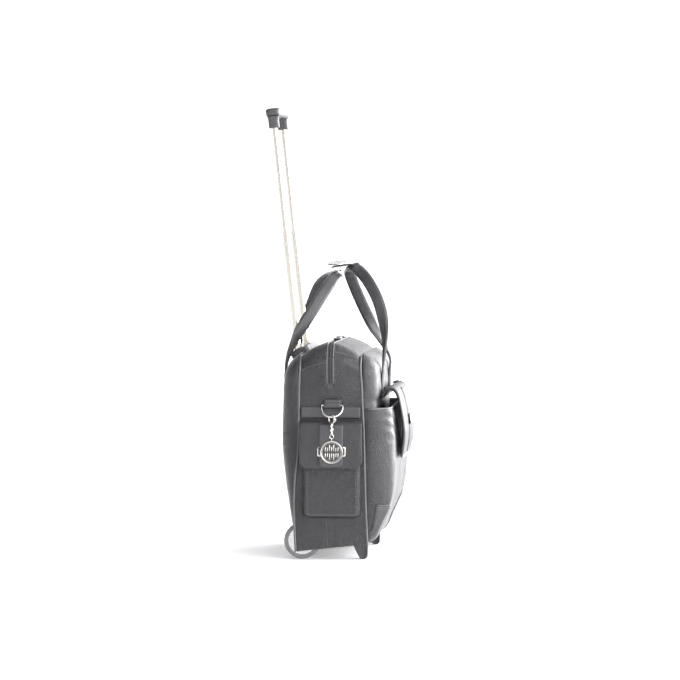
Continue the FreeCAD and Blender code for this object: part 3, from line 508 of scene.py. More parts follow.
def gusset_point(s, v, grow=0.0):
    """s: 0 at the left end's bottom, 1 at the right end's bottom, over the top; v: 0 rear edge to 1 front edge."""
    R = 30.0
    yt = lerp(52.5, -52.5, v)
    top = ARCH(yt) + grow
    z_low = BOT(lerp(60, -65, v))
    side = top - R - z_low
    arc = R * math.pi / 2
    flat = 2 * (209.5 - R)
    total = 2 * side + 2 * arc + flat
    d = s * total
    mirror = d > total / 2
    if mirror:
        d = total - d
    if d < side:
        x, z = -209.5 - grow, z_low + d
    elif d < side + arc:
        a = (d - side) / R
        x, z = -209.5 + R - (R + grow) * math.cos(a), top - R - grow + (R + grow) * math.sin(a)
    else:
        x, z = -209.5 + R + (d - side - arc), top
    w = smooth((z - 300) / 60)
    y = lerp(lerp(YR(z), YF(z), v), yt, w)
    if z < 366 and x < -200:
        bulge = 2.2 * math.sin(math.pi * v) * smooth((z - 20) / 60) * (1 - smooth((z - 300) / 60))
        x -= 0.6 * bulge + 5.0 * math.sin(math.pi * v) * smooth((z - 283) / 30) * (1 - smooth((z - 345) / 45))
    if mirror:
        x = -x
    return Vector((x, y, z))


def gusset_rows(v0, v1, nv, ns=420, grow=0.0, seed=0.0, rum=1.3, s0=0.0, s1=1.0):
    rows = []
    for j in range(nv):
        v = lerp(v0, v1, j / (nv - 1))
        row = []
        for i in range(ns):
            s = lerp(s0, s1, i / (ns - 1))
            p = gusset_point(s, v, grow)
            q = gusset_point(s, v, grow + 1.0)
            nrm = (q - p).normalized()
            edge = min(1, 8 * min(v, 1 - v))
            p = p + nrm * (rumple(p, 55, rum, seed) + rumple(p, 18, rum * 0.35, seed + 3)) * edge
            row.append(p)
        rows.append(row)
    return rows


verts, faces = merge(
    shell(gusset_rows(0.0, 0.449, 26), 2.6, flip=True),
    shell(gusset_rows(0.551, 1.0, 26, seed=2.0), 2.6, flip=True),
)
add(
    "gusset_middle",
    *merge(
        shell(gusset_rows(0.43, 0.57, 10, 120, grow=-0.3, rum=0.0, s0=0.0, s1=0.252), 2.0, flip=True),
        shell(gusset_rows(0.43, 0.57, 10, 120, grow=-0.3, rum=0.0, s0=0.748, s1=1.0), 2.0, flip=True),
    ),
    LEATHER,
    "case",
)
add("gusset_leather", verts, faces, LEATHER, "case", ("end_gussets", "top_strips"))

# Zip tape, teeth and welted edges, over the top and part of the way down each end.
ZS0, ZS1 = 0.262, 0.738
rows = [[gusset_point(lerp(ZS0 - 0.02, ZS1 + 0.02, i / 299), v, -0.9) for i in range(300)] for v in (0.445, 0.47, 0.5, 0.53, 0.555)]
add("zip_tape_cloth", *shell(rows, 0.8, flip=True), TAPE, "case", ("zipper",), slot="zip_tape")
teeth = []
count = 420
for i in range(count):
    s = lerp(ZS0, ZS1, i / (count - 1))
    p = gusset_point(s, 0.5, -0.5)
    t = (gusset_point(s + 0.0006, 0.5, -0.5) - p).normalized()
    nrm = (gusset_point(s, 0.5, 1) - p).normalized()
    side = nrm.cross(t)
    k = 1 if i % 2 else -1
    c = p + side * (0.55 * k)
    for ang in (0,):
        teeth.append(tube([c - side * 1.5, c - side * 0.5 + nrm * 0.35, c + side * 0.5 + nrm * 0.35, c + side * 1.5], 0.62, n=6))
add("zip_teeth_coil", *merge(*teeth), TEETH, "case", slot="zip_tape")
welts = []
for v, seedy in ((0.447, 1), (0.553, 2)):
    welts.append(tube([gusset_point(lerp(ZS0, ZS1, i / 240), v, 0.5) for i in range(241)], 1.25, n=10))
add("zip_welts", *merge(*welts), PIPING, "case", slot="edge_leather")
for v in (0.418, 0.582):
    stitch([gusset_point(lerp(ZS0, ZS1, i / 300), v, 0.1) for i in range(301)], lambda p: (0, 0, 1) if abs(p.x) < 178 else (math.copysign(1, p.x), 0, 0.2), "case")

# Piping along the gusset's two edges.
pipes = []
for v, out, seedy in ((0.0, 2.0, 0), (1.0, -2.0, 1)):
    path = []
    for i in range(401):
        p = gusset_point(i / 400, v, -0.6)
        path.append(p + Vector((0, out, 0)))
    # close it under the bottom
    a, b = path[-1], path[0]
    for i in range(1, 60):
        t = i / 60
        q = a.lerp(b, t)
        path.append(Vector((q.x, q.y, q.z - 0.0)))
    pipes.append(tube(path, 2.15, n=12, closed=True))
add("piping_cord", *merge(*pipes), PIPING, "case", ("piping",), slot="edge_leather")

# Seams that join each end's panel to the top.
welts = []
for side in (-1, 1):
    for va, vb, drop in ((0.02, 0.44, 0.058), (0.56, 0.98, 0.02)):
        path = []
        for i in range(40):
            v = lerp(va, vb, i / 39)
            s = 0.3205 - drop * 0.42
            p = gusset_point(s, v, 0.35)
            path.append(Vector((p.x * -side, p.y, p.z)))
        welts.append(tube(path, 0.55, n=8))
add("end_seam_welts", *merge(*welts), PIPING, "case", slot="edge_leather")


# Rear pillow panel.
REAR_OUT = curve([(22, 58.5), (30, 61), (48, 64), (65, 68.5), (110, 76.0), (155, 82.5), (200, 86.2), (300, 85.6), (330, 82.5), (350, 77.5), (362, 71.5), (371, 63)])
RZ0, RZ1, RR = 22.0, 371.0, 36.0


def rear_point(x, z, d=None, grow=0.0):
    if d is None:
        d = rect_depth(x, z, 207.5, RZ0, RZ1, RR, 12)
    base = 57.0 + (YR(z) - 54) * 0.6
    t = min(1.0, d / 30.0)
    f = math.sqrt(max(0.0, 1 - (1 - t) ** 2))
    crown = 1.0 - 0.008 * (x / 207) ** 2
    y = base + (max(REAR_OUT(z) * crown, base + 1.5) - base) * f
    return Vector((x, y + grow, z))


def panel_mesh(name, point, hx, z0, z1, r, sign, mat, replaces, seed=0.0, amp=1.0, thick=2.4, rings=46, n=380, cutters=()):
    """A bulged panel of rounded outline, made as rings from its edge to its middle."""
    edge = rounded_rect(hx, z0, z1, r, n, 12)
    cz = (z0 + z1) / 2
    rows = []
    for k in range(rings):
        t = (k / (rings - 1)) ** 1.55
        row = []
        for (ex, ez) in edge:
            x, z = ex * (1 - 0.992 * t), cz + (ez - cz) * (1 - 0.992 * t)
            row.append(point(x, z, seed, amp))
        rows.append(row)
    rows = [r_[::-1] if sign < 0 else r_ for r_ in rows]
    v, f = shell(rows, thick, flip=False, closed=True)
    n_ = len(rows[0])
    last = (len(rows) - 1) * n_
    off = len(rows) * n_
    mids = len(v) - n_
    # close the little hole in the middle, on both faces
    c = np.mean([v[last + i] for i in range(n_)], axis=0)
    v.append(tuple(c))
    ci = len(v) - 1
    faces_ = [q for q in f if not any(i >= mids and i < mids + n_ for i in q)]
    for i in range(n_):
        faces_.append((last + i, last + (i + 1) % n_, ci))
    c2 = np.mean([v[off + last + i] for i in range(n_)], axis=0)
    v.append(tuple(c2))
    for i in range(n_):
        faces_.append((off + last + (i + 1) % n_, off + last + i, ci + 1))
    o = add(name, v, face_out(v, faces_), mat, "case", replaces)
    return o


def rear_surf(x, z, seed, amp):
    d = rect_depth(x, z, 207.5, RZ0, RZ1, RR, 12)
    p = rear_point(x, z, d)
    w = smooth(d / 25)
    p.y += w * (rumple(p, 70, amp * 1.3, seed) + rumple(p, 24, amp * 0.4, seed + 5))
    return p


rear = panel_mesh("rear_pillow", rear_surf, 207.5, RZ0, RZ1, RR, 1, LEATHER, ("rear_panel",), seed=4.0)

FRONT_OUT = curve([(31, -62.5), (60, -76), (83, -82), (150, -83), (285, -80), (300, -83.5), (344, -82.5), (355, -79), (364, -73), (371, -64)])


def front_surf(x, z, seed, amp, d=None):
    d = rect_depth(x, z, 205, 31, 371, 38, 12)
    base = -59.0 + (YF(z) + 58) * 0.4
    t = min(1.0, d / 26.0)
    f = math.sqrt(max(0.0, 1 - (1 - t) ** 2))
    y = base + (min(FRONT_OUT(z), base - 1.5) - base) * f
    p = Vector((x, y, z))
    w = smooth(d / 20)
    p.y += w * (rumple(p, 60, amp * 1.4, seed) + rumple(p, 22, amp * 0.6, seed + 5))
    # soft folds below the upper corners
    for sx in (-1, 1):
        fx, fz = x - sx * 150, z - 350
        along = fx * 0.85 * sx * -1 + fz * 0.52
        across = fx * 0.52 * sx + fz * 0.85
        p.y += 1.6 * math.exp(-(across / 7) ** 2) * math.exp(-(along / 45) ** 2) * w
    return p


panel_mesh("front_upper_leather", front_surf, 205, 31, 371, 38, -1, LEATHER, ("front_panel",), seed=9.0)


def add_box_cut(obj, boxes):
    """Cuts boxes, in the row frame's metres, out of a mesh."""
    for i, (lo, hi, rot, at) in enumerate(boxes):
        me = bpy.data.meshes.new("cutter")
        vs = [Vector((x, y, z)) for x in (lo[0], hi[0]) for y in (lo[1], hi[1]) for z in (lo[2], hi[2])]
        vs = [tuple((rot @ v + at) if rot else v) for v in vs]
        me.from_pydata([M(v) for v in vs], [], [(0, 1, 3, 2), (4, 6, 7, 5), (0, 4, 5, 1), (2, 3, 7, 6), (0, 2, 6, 4), (1, 5, 7, 3)])
        me.update()
        c = bpy.data.objects.new("cutter", me)
        bpy.context.scene.collection.objects.link(c)
        mod = obj.modifiers.new("cut", "BOOLEAN")
        mod.operation = "DIFFERENCE"
        mod.solver = "EXACT"
        mod.object = c
        bpy.context.view_layer.objects.active = obj
        dg = bpy.context.evaluated_depsgraph_get()
        new = bpy.data.meshes.new_from_object(obj.evaluated_get(dg))
        obj.modifiers.clear()
        obj.data = new
        bpy.data.objects.remove(c)


TH = math.radians(6.1)
CHR = Matrix.Rotation(-TH, 3, "X")
CHO = Vector((0, 30.5, 25))
cuts = [((k * 165 - 19, -30, -40), (k * 165 + 19, 80, 50), CHR, CHO) for k in (-1, 1)]
cuts.append(((-99, -19.5, 322), (99, 14.0, 430), CHR, CHO))
add_box_cut(rear, cuts)
add_box_cut(bpy.data.objects["piping_cord"], cuts)
add_box_cut(bpy.data.objects["gusset_leather"], [cuts[2]])

# ---------------------------------------------------------------- base and feet
rows = []
for j in range(24):
    t = j / 23
    rows.append([])
    for i in range(90):
        x = lerp(-205, 205, i / 89)
        y = lerp(-64, 60, t)
        edge = min((205 - abs(x)) / 12, (y + 64) / 10, (60 - y) / 10, 1)
        z = BOT(y) - 1.2 + 5.5 * (1 - math.sqrt(max(0, 1 - (1 - max(0, edge)) ** 2))) + rumple((x, y, 0), 60, 0.4, 6)
        rows[-1].append(Vector((x, y, z)))
base = add("base_leather", *shell(rows, 1.6, flip=True), LEATHER, "case", ("bottom_panel",))
add_box_cut(base, [((k * 165 - 21, -30, -40), (k * 165 + 21, 80, 50), CHR, CHO) for k in (-1, 1)])

feet = []
for k in (-1, 1):
    prof = [(-66.2, 29.5), (-65.8, 12), (-64.6, 3.2), (-61, 0), (-54, 0), (-50.5, 2.2), (-45, 13), (-38.5, 27.6), (-44, 29.0), (-56, 29.6)]
    prof = [(p.y, p.z) for p in resample([(0, a, b) for a, b in prof], 2.2, closed=True)]
    sections = []
    for x, sc in ((-12.2, 0.86), (-13, 0.93), (-12.6, 0.97), (-11.2, 1.0), (11.2, 1.0), (12.6, 0.97), (13, 0.93), (12.2, 0.86)):
        x = x if abs(x) != 13 else x
        cy, cz = -54, 15
        sections.append([Vector((k * 165 + x, cy + (a - cy) * sc, (cz + (b - cz) * sc) if b > 3 or sc == 1 else b * 1.0 + (1 - sc) * 8)) for a, b in prof])
    v, f = [], []
    n = len(prof)
    for s_ in sections:
        v += [tuple(p) for p in s_]
    for a in range(len(sections) - 1):
        for i in range(n):
            f.append((a * n + i, a * n + (i + 1) % n, (a + 1) * n + (i + 1) % n, (a + 1) * n + i))
    f.append(tuple(range(n))[::-1])
    f.append(tuple((len(sections) - 1) * n + i for i in range(n)))
    feet.append((v, f))
add("moulded_feet", *merge(*feet), PLASTIC, "case", ("front_feet",), slot="plastic", sharp=50)

# ---------------------------------------------------------------- front pocket
PK_Y = curve([(28, -68), (33, -75), (42, -82), (56, -87.5), (70, -93.5), (83, -99), (110, -108.5), (146, -114.5), (182, -116.0), (225, -115.5), (255, -113.5), (276, -110)])
PK_HX = 208.5


def pocket_point(x, z, seed=0.0, amp=1.0):
    r = 30.0
    dx = PK_HX - abs(x)
    yb = -60.5
    if z < 29 + r and dx < r:
        q = math.hypot(r - dx, r - (z - 29))
        dx = r - q
    t = min(1.0, max(0.0, dx) / (14 + 26 * smooth((z - 60) / 140)))
    f = math.sqrt(max(0.0, 1 - (1 - t) ** 2.2))
    y = yb + (PK_Y(z) - yb) * f
    p = Vector((x, y, z))
    w = smooth(dx / 18)
    near = math.exp(-((PK_HX - abs(x)) / 60) ** 2)
    p.y += w * (rumple(p, 75, amp * 2.2, seed) + rumple(p, 26, amp * 0.9, seed + 3))
    # folds where the pocket's mouth meets the case near each end
    for zz, tilt, a in ((262, 0.35, 1.7), (246, 0.55, 1.5), (228, 0.7, 0.9)):
        p.y += a * near * math.exp(-(((z - zz) + tilt * (PK_HX - abs(x)) * 0.6) / 6.5) ** 2) * w * 1.2
    return p


NX, NZ = 300, 96
rows = []
for j in range(NZ):
    t = j / (NZ - 1)
    z0 = 29 + (276 - 29) * t
    row = []
    for i in range(NX):
        u = lerp(-1, 1, i / (NX - 1))
        x = PK_HX * math.sin(u * math.pi / 2) if abs(u) > 2 else PK_HX * (1.12 * u - 0.12 * u ** 3) / 1.0
        lowest = 29.0
        c = PK_HX - abs(x)
        if c < 30:
            lowest = 29 + 30 - math.sqrt(max(0, 30 ** 2 - (30 - c) ** 2))
        z = lerp(lowest, 276 - 3.5 * (x / PK_HX) ** 2, t ** 1.05)
        row.append(pocket_point(x, z, 7.0))
    rows.append(row)
add("front_pocket_leather", *shell(rows, 2.6, flip=False), LEATHER, "case", ("front_pocket",))
rim = [pocket_point(lerp(-PK_HX + 0.5, PK_HX - 0.5, i / 160), 276 - 3.5 * (lerp(-1, 1, i / 160)) ** 2, 7.0) + Vector((0, 0.9, 0.6)) for i in range(161)]
add("pocket_mouth_binding", *tube(rim, 2.0, n=12), PIPING, "case", slot="edge_leather")
stitch([pocket_point(lerp(-PK_HX + 3, PK_HX - 3, i / 200), 267.5, 7.0) for i in range(201)], (0, -1, 0), "case")
# corner patches: a second layer with an arched top, with two rows of stitching along the arch
patches = []
for k in (-1, 1):
    prow = []
    for j in range(30):
        t = j / 29
        row = []
        for i in range(40):
            c = lerp(2.0, 66, i / 39)
            lowest = 30.5 if c > 30 else 30.5 + 30 - math.sqrt(max(0, 30 ** 2 - (30 - c) ** 2))
            top = 31 + 66 * math.sqrt(max(0.0, 1 - (max(0, c - 8) / 60) ** 2.2)) + 3
            z = lerp(lowest, max(top, lowest + 0.5), t)
            p = pocket_point(k * (PK_HX - c), z, 7.0)
            q = pocket_point(k * (PK_HX - c) * 0.985, z + 0.8, 7.0)
            e = Vector((k * math.exp(-c / 10) * 1.0, -1.0, -0.35 * math.exp(-(z - 29) / 22))).normalized()
            row.append(p + e * 1.5)
        prow.append(row)
    patches.append(shell(prow, 1.3, flip=(k > 0)))
    for off in (4.5, 8.0):
        pth = []
        for i in range(30):
            c = lerp(3.0, 65 - off, i / 29)
            top = 31 + (66 - off) * math.sqrt(max(0.0, 1 - (max(0, c - 8) / (60 - off)) ** 2.2)) + 3
            pth.append(pocket_point(k * (PK_HX - c), max(top, 33), 7.0) + Vector((k * 0.6 * math.exp(-c / 10), -1.5, 0)))
        stitch(pth, lambda p: (0.3 * math.copysign(1, p.x), -1, 0.1), "case")
add("corner_patch_leather", *merge(*patches), STRAP, "case", ("corner_patches",))

# ---------------------------------------------------------------- front flap
FLAP = [(-84.9, 291.6), (-88, 299.5), (-95, 306.5), (-103, 309), (-111, 307.8), (-117.5, 300.5), (-121.8, 289), (-126, 270), (-129.8, 248), (-131.2, 228), (-130.2, 208), (-127.2, 190), (-125.4, 181.5)]
FP = resample([(0, a, b) for a, b in FLAP], 2.6)


def flap_rows(x_half, path, n, lift=0.0, seed=0.0, amp=0.7, corner=26.0):
    rows = []
    k = len(path)
    length = (k - 1) * 2.6
    for j, p in enumerate(path):
        a, b = path[max(0, j - 1)], path[min(k - 1, j + 1)]
        t = (b - a).normalized()
        nrm = Vector((0, -t.z, t.y))
        if nrm.y > 0 and j > 6:
            nrm = -nrm
        if j <= 6 and nrm.z < 0:
            nrm = -nrm
        left = (k - 1 - j) * 2.6
        half = x_half
        if left < corner:
            half = x_half - corner + math.sqrt(max(0, corner ** 2 - (corner - left) ** 2)) * 1.0
        row = []
        for i in range(n):
            x = lerp(-half, half, i / (n - 1))
            q = Vector((x, p.y, p.z)) + nrm * lift
            edge = min(1, (half - abs(x)) / 14, max(0, left) / 10)
            q += nrm * (rumple((x, p.y, p.z), 46, amp, seed) + 0.9 * (max(0.0, edge) ** 0.5) - 0.5)
            row.append(q)
        rows.append(row)
    return rows


split = 7
flap_all = flap_rows(130, FP, 110, seed=12.0)
o = add("front_flap_leather", *shell(flap_all, 5.4, flip=True), LEATHER, "case", ("front_flap", "front_flap_root"), ride=False)
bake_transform(o)
o.location = o.location
bind = []
k = len(flap_all)
loop = [flap_all[j][0] for j in range(split, k)] + flap_all[k - 1][1:-1] + [flap_all[j][-1] for j in range(k - 1, split - 1, -1)]
loop = resample(loop, 2.5)
add("flap_edge_paint", *tube([p + Vector((0, 1.6, 0)) for p in loop], 2.75, n=10), EDGE, "front_flap", slot="edge_leather")
for inset in (6.5,):
    pth = []
    for j in range(split + 1, k - 3):
        pth.append(flap_all[j][0].lerp(flap_all[j][-1], inset / 260))
    last = k - 4
    pth += [flap_all[last][i] for i in range(4, 106)]
    pth += [flap_all[j][-1].lerp(flap_all[j][0], inset / 260) for j in range(k - 4, split, -1)]
    stitch(pth, lambda p: (0, -1, 0.25 if p.z > 285 else -0.05), "front_flap")
# strap and its buckle plate, then the magnet cups on the flap and the pocket
sp = [q for q in FP if q.z < 303 and q.y < -112]
sp = [q for q in sp if q.z > 186]
strap_rows = flap_rows(20, sp, 18, lift=1.9, seed=3, amp=0.1, corner=12)
add("flap_strap", *shell(strap_rows, 2.2, flip=True), STRAP, "front_flap")
for sx in (-16.8, 16.8):
    stitch([Vector((sx, r_[9].y - 0.3, r_[9].z)) for r_ in strap_rows[1:-5]], (0, -1, 0), "front_flap")
bk = []
tilt = Matrix.Rotation(math.radians(-7.85), 3, "X")
ctr = Vector((0, -133.6, 247))
frame_pts = [(-24, -8), (24, -8), (24, 8), (-24, 8)]
loop = []
for (cx, cz, a0) in ((21, 6, 0), (-21, 6, 90), (-21, -6, 180), (21, -6, 270)):
    for i in range(7):
        a = math.radians(a0 + 15 * i)
        loop.append((cx + 3 * math.cos(a), cz + 3 * math.sin(a)))
rws = []
for depth, sc in ((1.2, 0.97), (-0.6, 1.0), (-1.6, 0.965), (-1.9, 0.9), (-1.9, 0.72), (-1.3, 0.66), (-1.3, 0.3), (-1.3, 0.01)):
    rws.append([ctr + tilt @ Vector((a * sc, depth, b * (sc if sc > 0.8 else sc * 0.9))) for a, b in loop])
add("flap_buckle_plate", *shell(rws, 0.7, flip=True, closed=True, round_rim=False), NICKEL, "front_flap", ("front_flap_hardware",), slot="nickel", sharp=40)
magn = []
for body, nm, y0, y1, rep in (("front_flap", "flap_magnet_cup", -119.2, -121.4, ()), ("case", "pocket_magnet_cup", -115.6, -118.2, ("pocket_magnet",))):
    cup = [[Vector((r_ * math.cos(2 * math.pi * i / 40), y, 200 + r_ * math.sin(2 * math.pi * i / 40))) for i in range(40)] for r_, y in ((8.8, y0), (9.0, lerp(y0, y1, 0.5)), (8.4, y1), (5.0, y1), (4.4, y1 + 0.5), (0.05, y1 + 0.5))]
    add(nm, *shell(cup, 0.6, flip=True, closed=True, round_rim=False), STEEL, body, rep, slot="steel", sharp=40)

# ---------------------------------------------------------------- end pockets, flaps, clasps, bands, rings
SF = [(211.5, 249.5), (215.5, 249.2), (220, 247.6), (223.3, 244.6), (225.2, 240), (225.8, 232), (225.9, 215), (225.6, 195), (225.2, 180), (225.0, 167.5)]
for side, k in (("left", -1), ("right", 1)):
    # pocket body
    rows = []
    for j in range(40):
        z = lerp(76.4, 238, j / 39)
        row = []
        for i in range(56):
            y = lerp(-56.5, 49.5, i / 55)
            e = min((y + 56.5), (49.5 - y), (z - 76.4) * 1.2)
            t = min(1, max(0, e) / 9.0)
            f = math.sqrt(max(0, 1 - (1 - t) ** 2))
            cor = 12.0
            yy = y
            if z < 76.4 + cor:
                shrink = cor - math.sqrt(max(0, cor ** 2 - (76.4 + cor - z) ** 2))
                yy = lerp(-56.5 + shrink, 49.5 - shrink, i / 55)
            row.append(Vector((k * (211.2 + 8.3 * f + rumple((y, z, 0), 34, 0.6, 5)), yy, z)))
        rows.append(row)
    add("end_pocket_" + side, *shell(rows, 1.8, flip=(k < 0)), LEATHER, "case", ("side_pockets",) if k < 0 else ())
    for inset in (3.4, 6.2):
        pth = [Vector((k * 220.0, -56.5 + inset + 4, z)) for z in (160, 120, 96)] + [Vector((k * 220, -50 + inset * 0.7, 84)), Vector((k * 220, -40, 80 + inset * 0.6)), Vector((k * 220, 34, 80 + inset * 0.6)), Vector((k * 220, 43 - inset * 0.7, 84)), Vector((k * 220, 49.5 - inset - 4, 96))] + [Vector((k * 220, 49.5 - inset - 4, z)) for z in (120, 160)]
        stitch(pth, (k, 0, 0), "case", lift=-0.1)
    # flap with rounded lower corners
    path = resample([(a, 0, b) for a, b in SF], 1.6)
    kk = len(path)
    rows = []
    for j, p in enumerate(path):
        a, b = path[max(0, j - 1)], path[min(kk - 1, j + 1)]
        t = (b - a).normalized()
        nrm = Vector((-t.z, 0, t.x)) * 1.0
        if nrm.x < 0:
            nrm = -nrm
        left = (kk - 1 - j) * 1.6
        sh = 13 - math.sqrt(max(0, 169 - (13 - left) ** 2)) if left < 13 else 0
        row = []
        for i in range(70):
            y = lerp(-57.5 + sh, 53.3 - sh, i / 69)
            e = min(1, (y + 57.5 - sh) / 6, (53.3 - sh - y) / 6, left / 6)
            lift = 0.8 * max(0, e) ** 0.5 - 0.5 + rumple((y, p.z, 3), 40, 0.45, 2) * max(0, e)
            q = Vector((p.x, y, p.z)) + nrm * lift
            row.append(Vector((k * q.x, q.y, q.z)))
        rows.append(row)
    o = add("end_flap_" + side, *shell(rows, 2.9, flip=(k < 0)), LEATHER, "case", ("side_flap_" + side,), ride=False)
    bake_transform(o)
    edge = [rows[j][0] for j in range(6, kk)] + rows[-1][1:-1] + [rows[j][-1] for j in range(kk - 1, 5, -1)]
    edge = resample(edge, 2.2)
    add("end_flap_edge_" + side, *tube([p + Vector((-k * 1.35, 0, 0)) for p in edge], 1.5, n=9), EDGE, "side_flap_" + side, slot="edge_leather")
    for inset in (3.6, 7.0):
        def at(fy, dz):
            zz = 167.5 + dz
            j = min(range(kk), key=lambda m: abs(path[m].z - zz) + (0 if path[m].x > 222 else 50))
            return Vector((k * (path[j].x + 0.35), fy, zz))
        pth = [at(-57.5 + inset, dz) for dz in (70, 55, 40, 25, 14)] + [at(-57.5 + inset + 1.6, 8), at(-57.5 + inset + 5, inset + 1.6), at(-57.5 + inset + 10, inset)] + [at(lerp(-40, 36, i / 6), inset) for i in range(7)] + [at(53.3 - inset - 10, inset), at(53.3 - inset - 5, inset + 1.6), at(53.3 - inset - 1.6, 8)] + [at(53.3 - inset, dz) for dz in (14, 25, 40, 55, 70)]
        stitch(pth, (k, 0, 0), "side_flap_" + side, pitch=3.9, length=2.7)
    # flap strap
    body = "side_flap_" + side
    rows = []
    for j in range(30):
        z = lerp(246.0, 169.5, j / 29)
        jx = min(range(kk), key=lambda m: abs(path[m].z - z) + (0 if path[m].x > 219 else 50))
        x = path[jx].x + 1.9 + (0.9 if z < 210 else 0)
        left = z - 169.5
        sh = 7 - math.sqrt(max(0, 49 - (7 - left) ** 2)) if left < 7 else 0
        rows.append([Vector((k * x, lerp(-24.3 + sh, 18.3 - sh, i / 15), z)) for i in range(16)])
    add("end_flap_strap_" + side, *shell(rows, 1.9, flip=(k < 0)), STRAP, body)
    for y in (-22.2, -19.8, 13.8, 16.2):
        stitch([Vector((k * (r_[0].x * k + 0.1), y, r_[0].z)) for r_ in rows[2:-4]], (k, 0, 0), body, pitch=3.6, length=2.5)
    stitch([Vector((k * 228.0, y, 177)) for y in (-20, -10, 0, 10, 14)], (k, 0, 0), body, pitch=3.6, length=2.5)
    # clasp bar: dark enamel plate in a bright frame
    for nm, mat, inset, lo, hi, slot in (("clasp_frame_", NICKEL, 0.0, 226.6, 230.3, "nickel"), ("clasp_plate_", DARK, 2.0, 229.4, 230.7, "nickel")):
        loop = []
        y0, y1, z0, z1, r = -29.8 + inset, 21.8 - inset, 188.6 + inset, 206.4 - inset, 2.6
        for (cy, cz, a0) in ((y1 - r, z1 - r, 0), (y0 + r, z1 - r, 90), (y0 + r, z0 + r, 180), (y1 - r, z0 + r, 270)):
            for i in range(7):
                a = math.radians(a0 + 15 * i)
                loop.append((cy + r * math.cos(a), cz + r * math.sin(a)))
        cy, cz = (y0 + y1) / 2, (z0 + z1) / 2
        rws = [[Vector((k * u, cy + (a - cy) * sc, cz + (b - cz) * sc2)) for a, b in loop] for u, sc, sc2 in ((lo, 0.98, 0.96), (lerp(lo, hi, 0.6), 1.0, 1.0), (lerp(lo, hi, 0.9), 0.99, 0.975), (hi, 0.965, 0.91), (hi, 0.5, 0.5), (hi, 0.01, 0.01))]
        add(nm + side, *shell(rws, 0.5, flip=(k < 0), closed=True, round_rim=False), mat, body, ("side_clasp_" + side,) if not inset else (), slot=slot, sharp=35)
    # band across the gusset
    rows = []
    for j in range(12):
        z = lerp(256.5, 277.5, j / 11)
        e = min(1, (z - 256.5) / 3, (277.5 - z) / 3)
        row = []
        for i in range(60):
            y = lerp(-53.5, 51.5, i / 59)
            row.append(Vector((k * (211.6 + 1.9 * math.sqrt(max(0, e)) - 0.5 + rumple((y, z, 9), 25, 0.2)), y, z)))
        rows.append(row)
    add("end_band_" + side, *shell(rows, 2.0, flip=(k < 0)), STRAP, "case", ("gusset_bands",) if k < 0 else ())
    for z in (258.9, 275.1):
        stitch([Vector((k * 213.2, lerp(-51, 49, i / 10), z)) for i in range(11)], (k, 0, 0), "case", pitch=3.9, length=2.7)
    # ring tab: a folded strip round the ring's straight bar
    rows = []
    prof = [(213.2, 290), (214.4, 289.0), (215.6, 286.2), (217.2, 284.2), (219.2, 282.0), (219.8, 279.6), (219.0, 277.3), (217.3, 275.6), (215.2, 274.8), (213.4, 274.2), (213.0, 271.0)]
    for (u, z) in [(p.x, p.z) for p in resample([(a, 0, b) for a, b in prof], 1.2)]:
        rows.append([Vector((k * u, lerp(-19.5, 10.5, i / 9), z)) for i in range(10)])
    add("ring_tab_" + side, *shell(rows, 1.5, flip=(k < 0)), STRAP, "case")
    # D-ring
    tiltr = Matrix.Rotation(math.radians(38 if k < 0 else 0), 3, "Y")
    pts = []
    for i in range(41):
        a = math.pi * i / 40
        yy, zz = 19.2 * math.cos(a), -25.5 * math.sin(a) ** 0.72
        pts.append((yy, zz))
    ring = [Vector((0, y_, z_)) for y_, z_ in pts] + [Vector((0, lerp(-19.2, 19.2, i / 12), 0)) for i in range(1, 12)]
    ring = [tiltr @ p for p in ring]
    ring = [Vector((k * 215.6 + (p.x if k < 0 else -p.x), p.y - 4.5, 280 + p.z)) for p in ring]
    add("d_ring_wire_" + side, *tube(ring, 1.8, n=14, closed=True), NICKEL, "ring_" + side, ("d_ring_" + side,), slot="nickel")

# clip: a swivel snap hook with a thumb lever
aa = math.radians(38)
wx, wz = -(215.6 + 25.5 * math.sin(aa)), 280 - 25.5 * math.cos(aa)
hz = wz - 4.2
ez = hz - 30.9
lz = ez - 5.0
cz_ = lz - 3.4 - 0.8 - 20.5 + 1.4
yaw = math.radians(42)
D1 = Vector((math.cos(yaw), math.sin(yaw), 0))


def hook_at(u, z):
    return Vector((wx, -4.5, z)) + D1 * u


arc = [hook_at(8.0 * math.sin(a), hz + 8.0 * math.cos(a)) for a in [math.radians(-178 + 8 * i) for i in range(43)]]
rad = [1.15 + 0.75 * math.sin(math.pi * min(1, i / 40)) for i in range(43)]
gate = [hook_at(8.0 * math.sin(math.radians(a)), hz + 8.0 * math.cos(math.radians(a))) for a in range(166, 184, 3)]
parts = [tube(arc, rad, n=12), tube([arc[0], hook_at(-1.5, hz - 8.3), hook_at(0.5, hz - 8.6), arc[-1]], 1.7, n=10)]
body_prof = [(2.2, hz - 8.0), (3.1, hz - 9.2), (3.2, hz - 12.0), (2.3, hz - 13.2), (2.3, hz - 15.0), (3.6, hz - 16.0), (3.9, hz - 18.5), (3.5, hz - 21.5), (2.2, hz - 22.5), (2.2, hz - 24.0), (3.0, hz - 24.8), (2.8, hz - 26.6), (1.2, hz - 27.4)]
rws = [[Vector((wx + r_ * math.cos(2 * math.pi * i / 28), -4.5 + r_ * math.sin(2 * math.pi * i / 28), z)) for i in range(28)] for r_, z in body_prof]
v, f = shell(rws, 0.8, flip=True, closed=True)
parts.append((v, f))
parts.append(tube([Vector((wx, -4.5 + 3.6 * math.sin(2 * math.pi * i / 28), ez + 3.6 * math.cos(2 * math.pi * i / 28))) for i in range(28)], 1.15, n=10, closed=True))
add("snap_hook_metal", *merge(*parts), NICKEL, "clip", ("clip_hook",), slot="nickel", sharp=50)
DL = Vector((-math.sin(math.radians(132)), math.cos(math.radians(132)), 0))
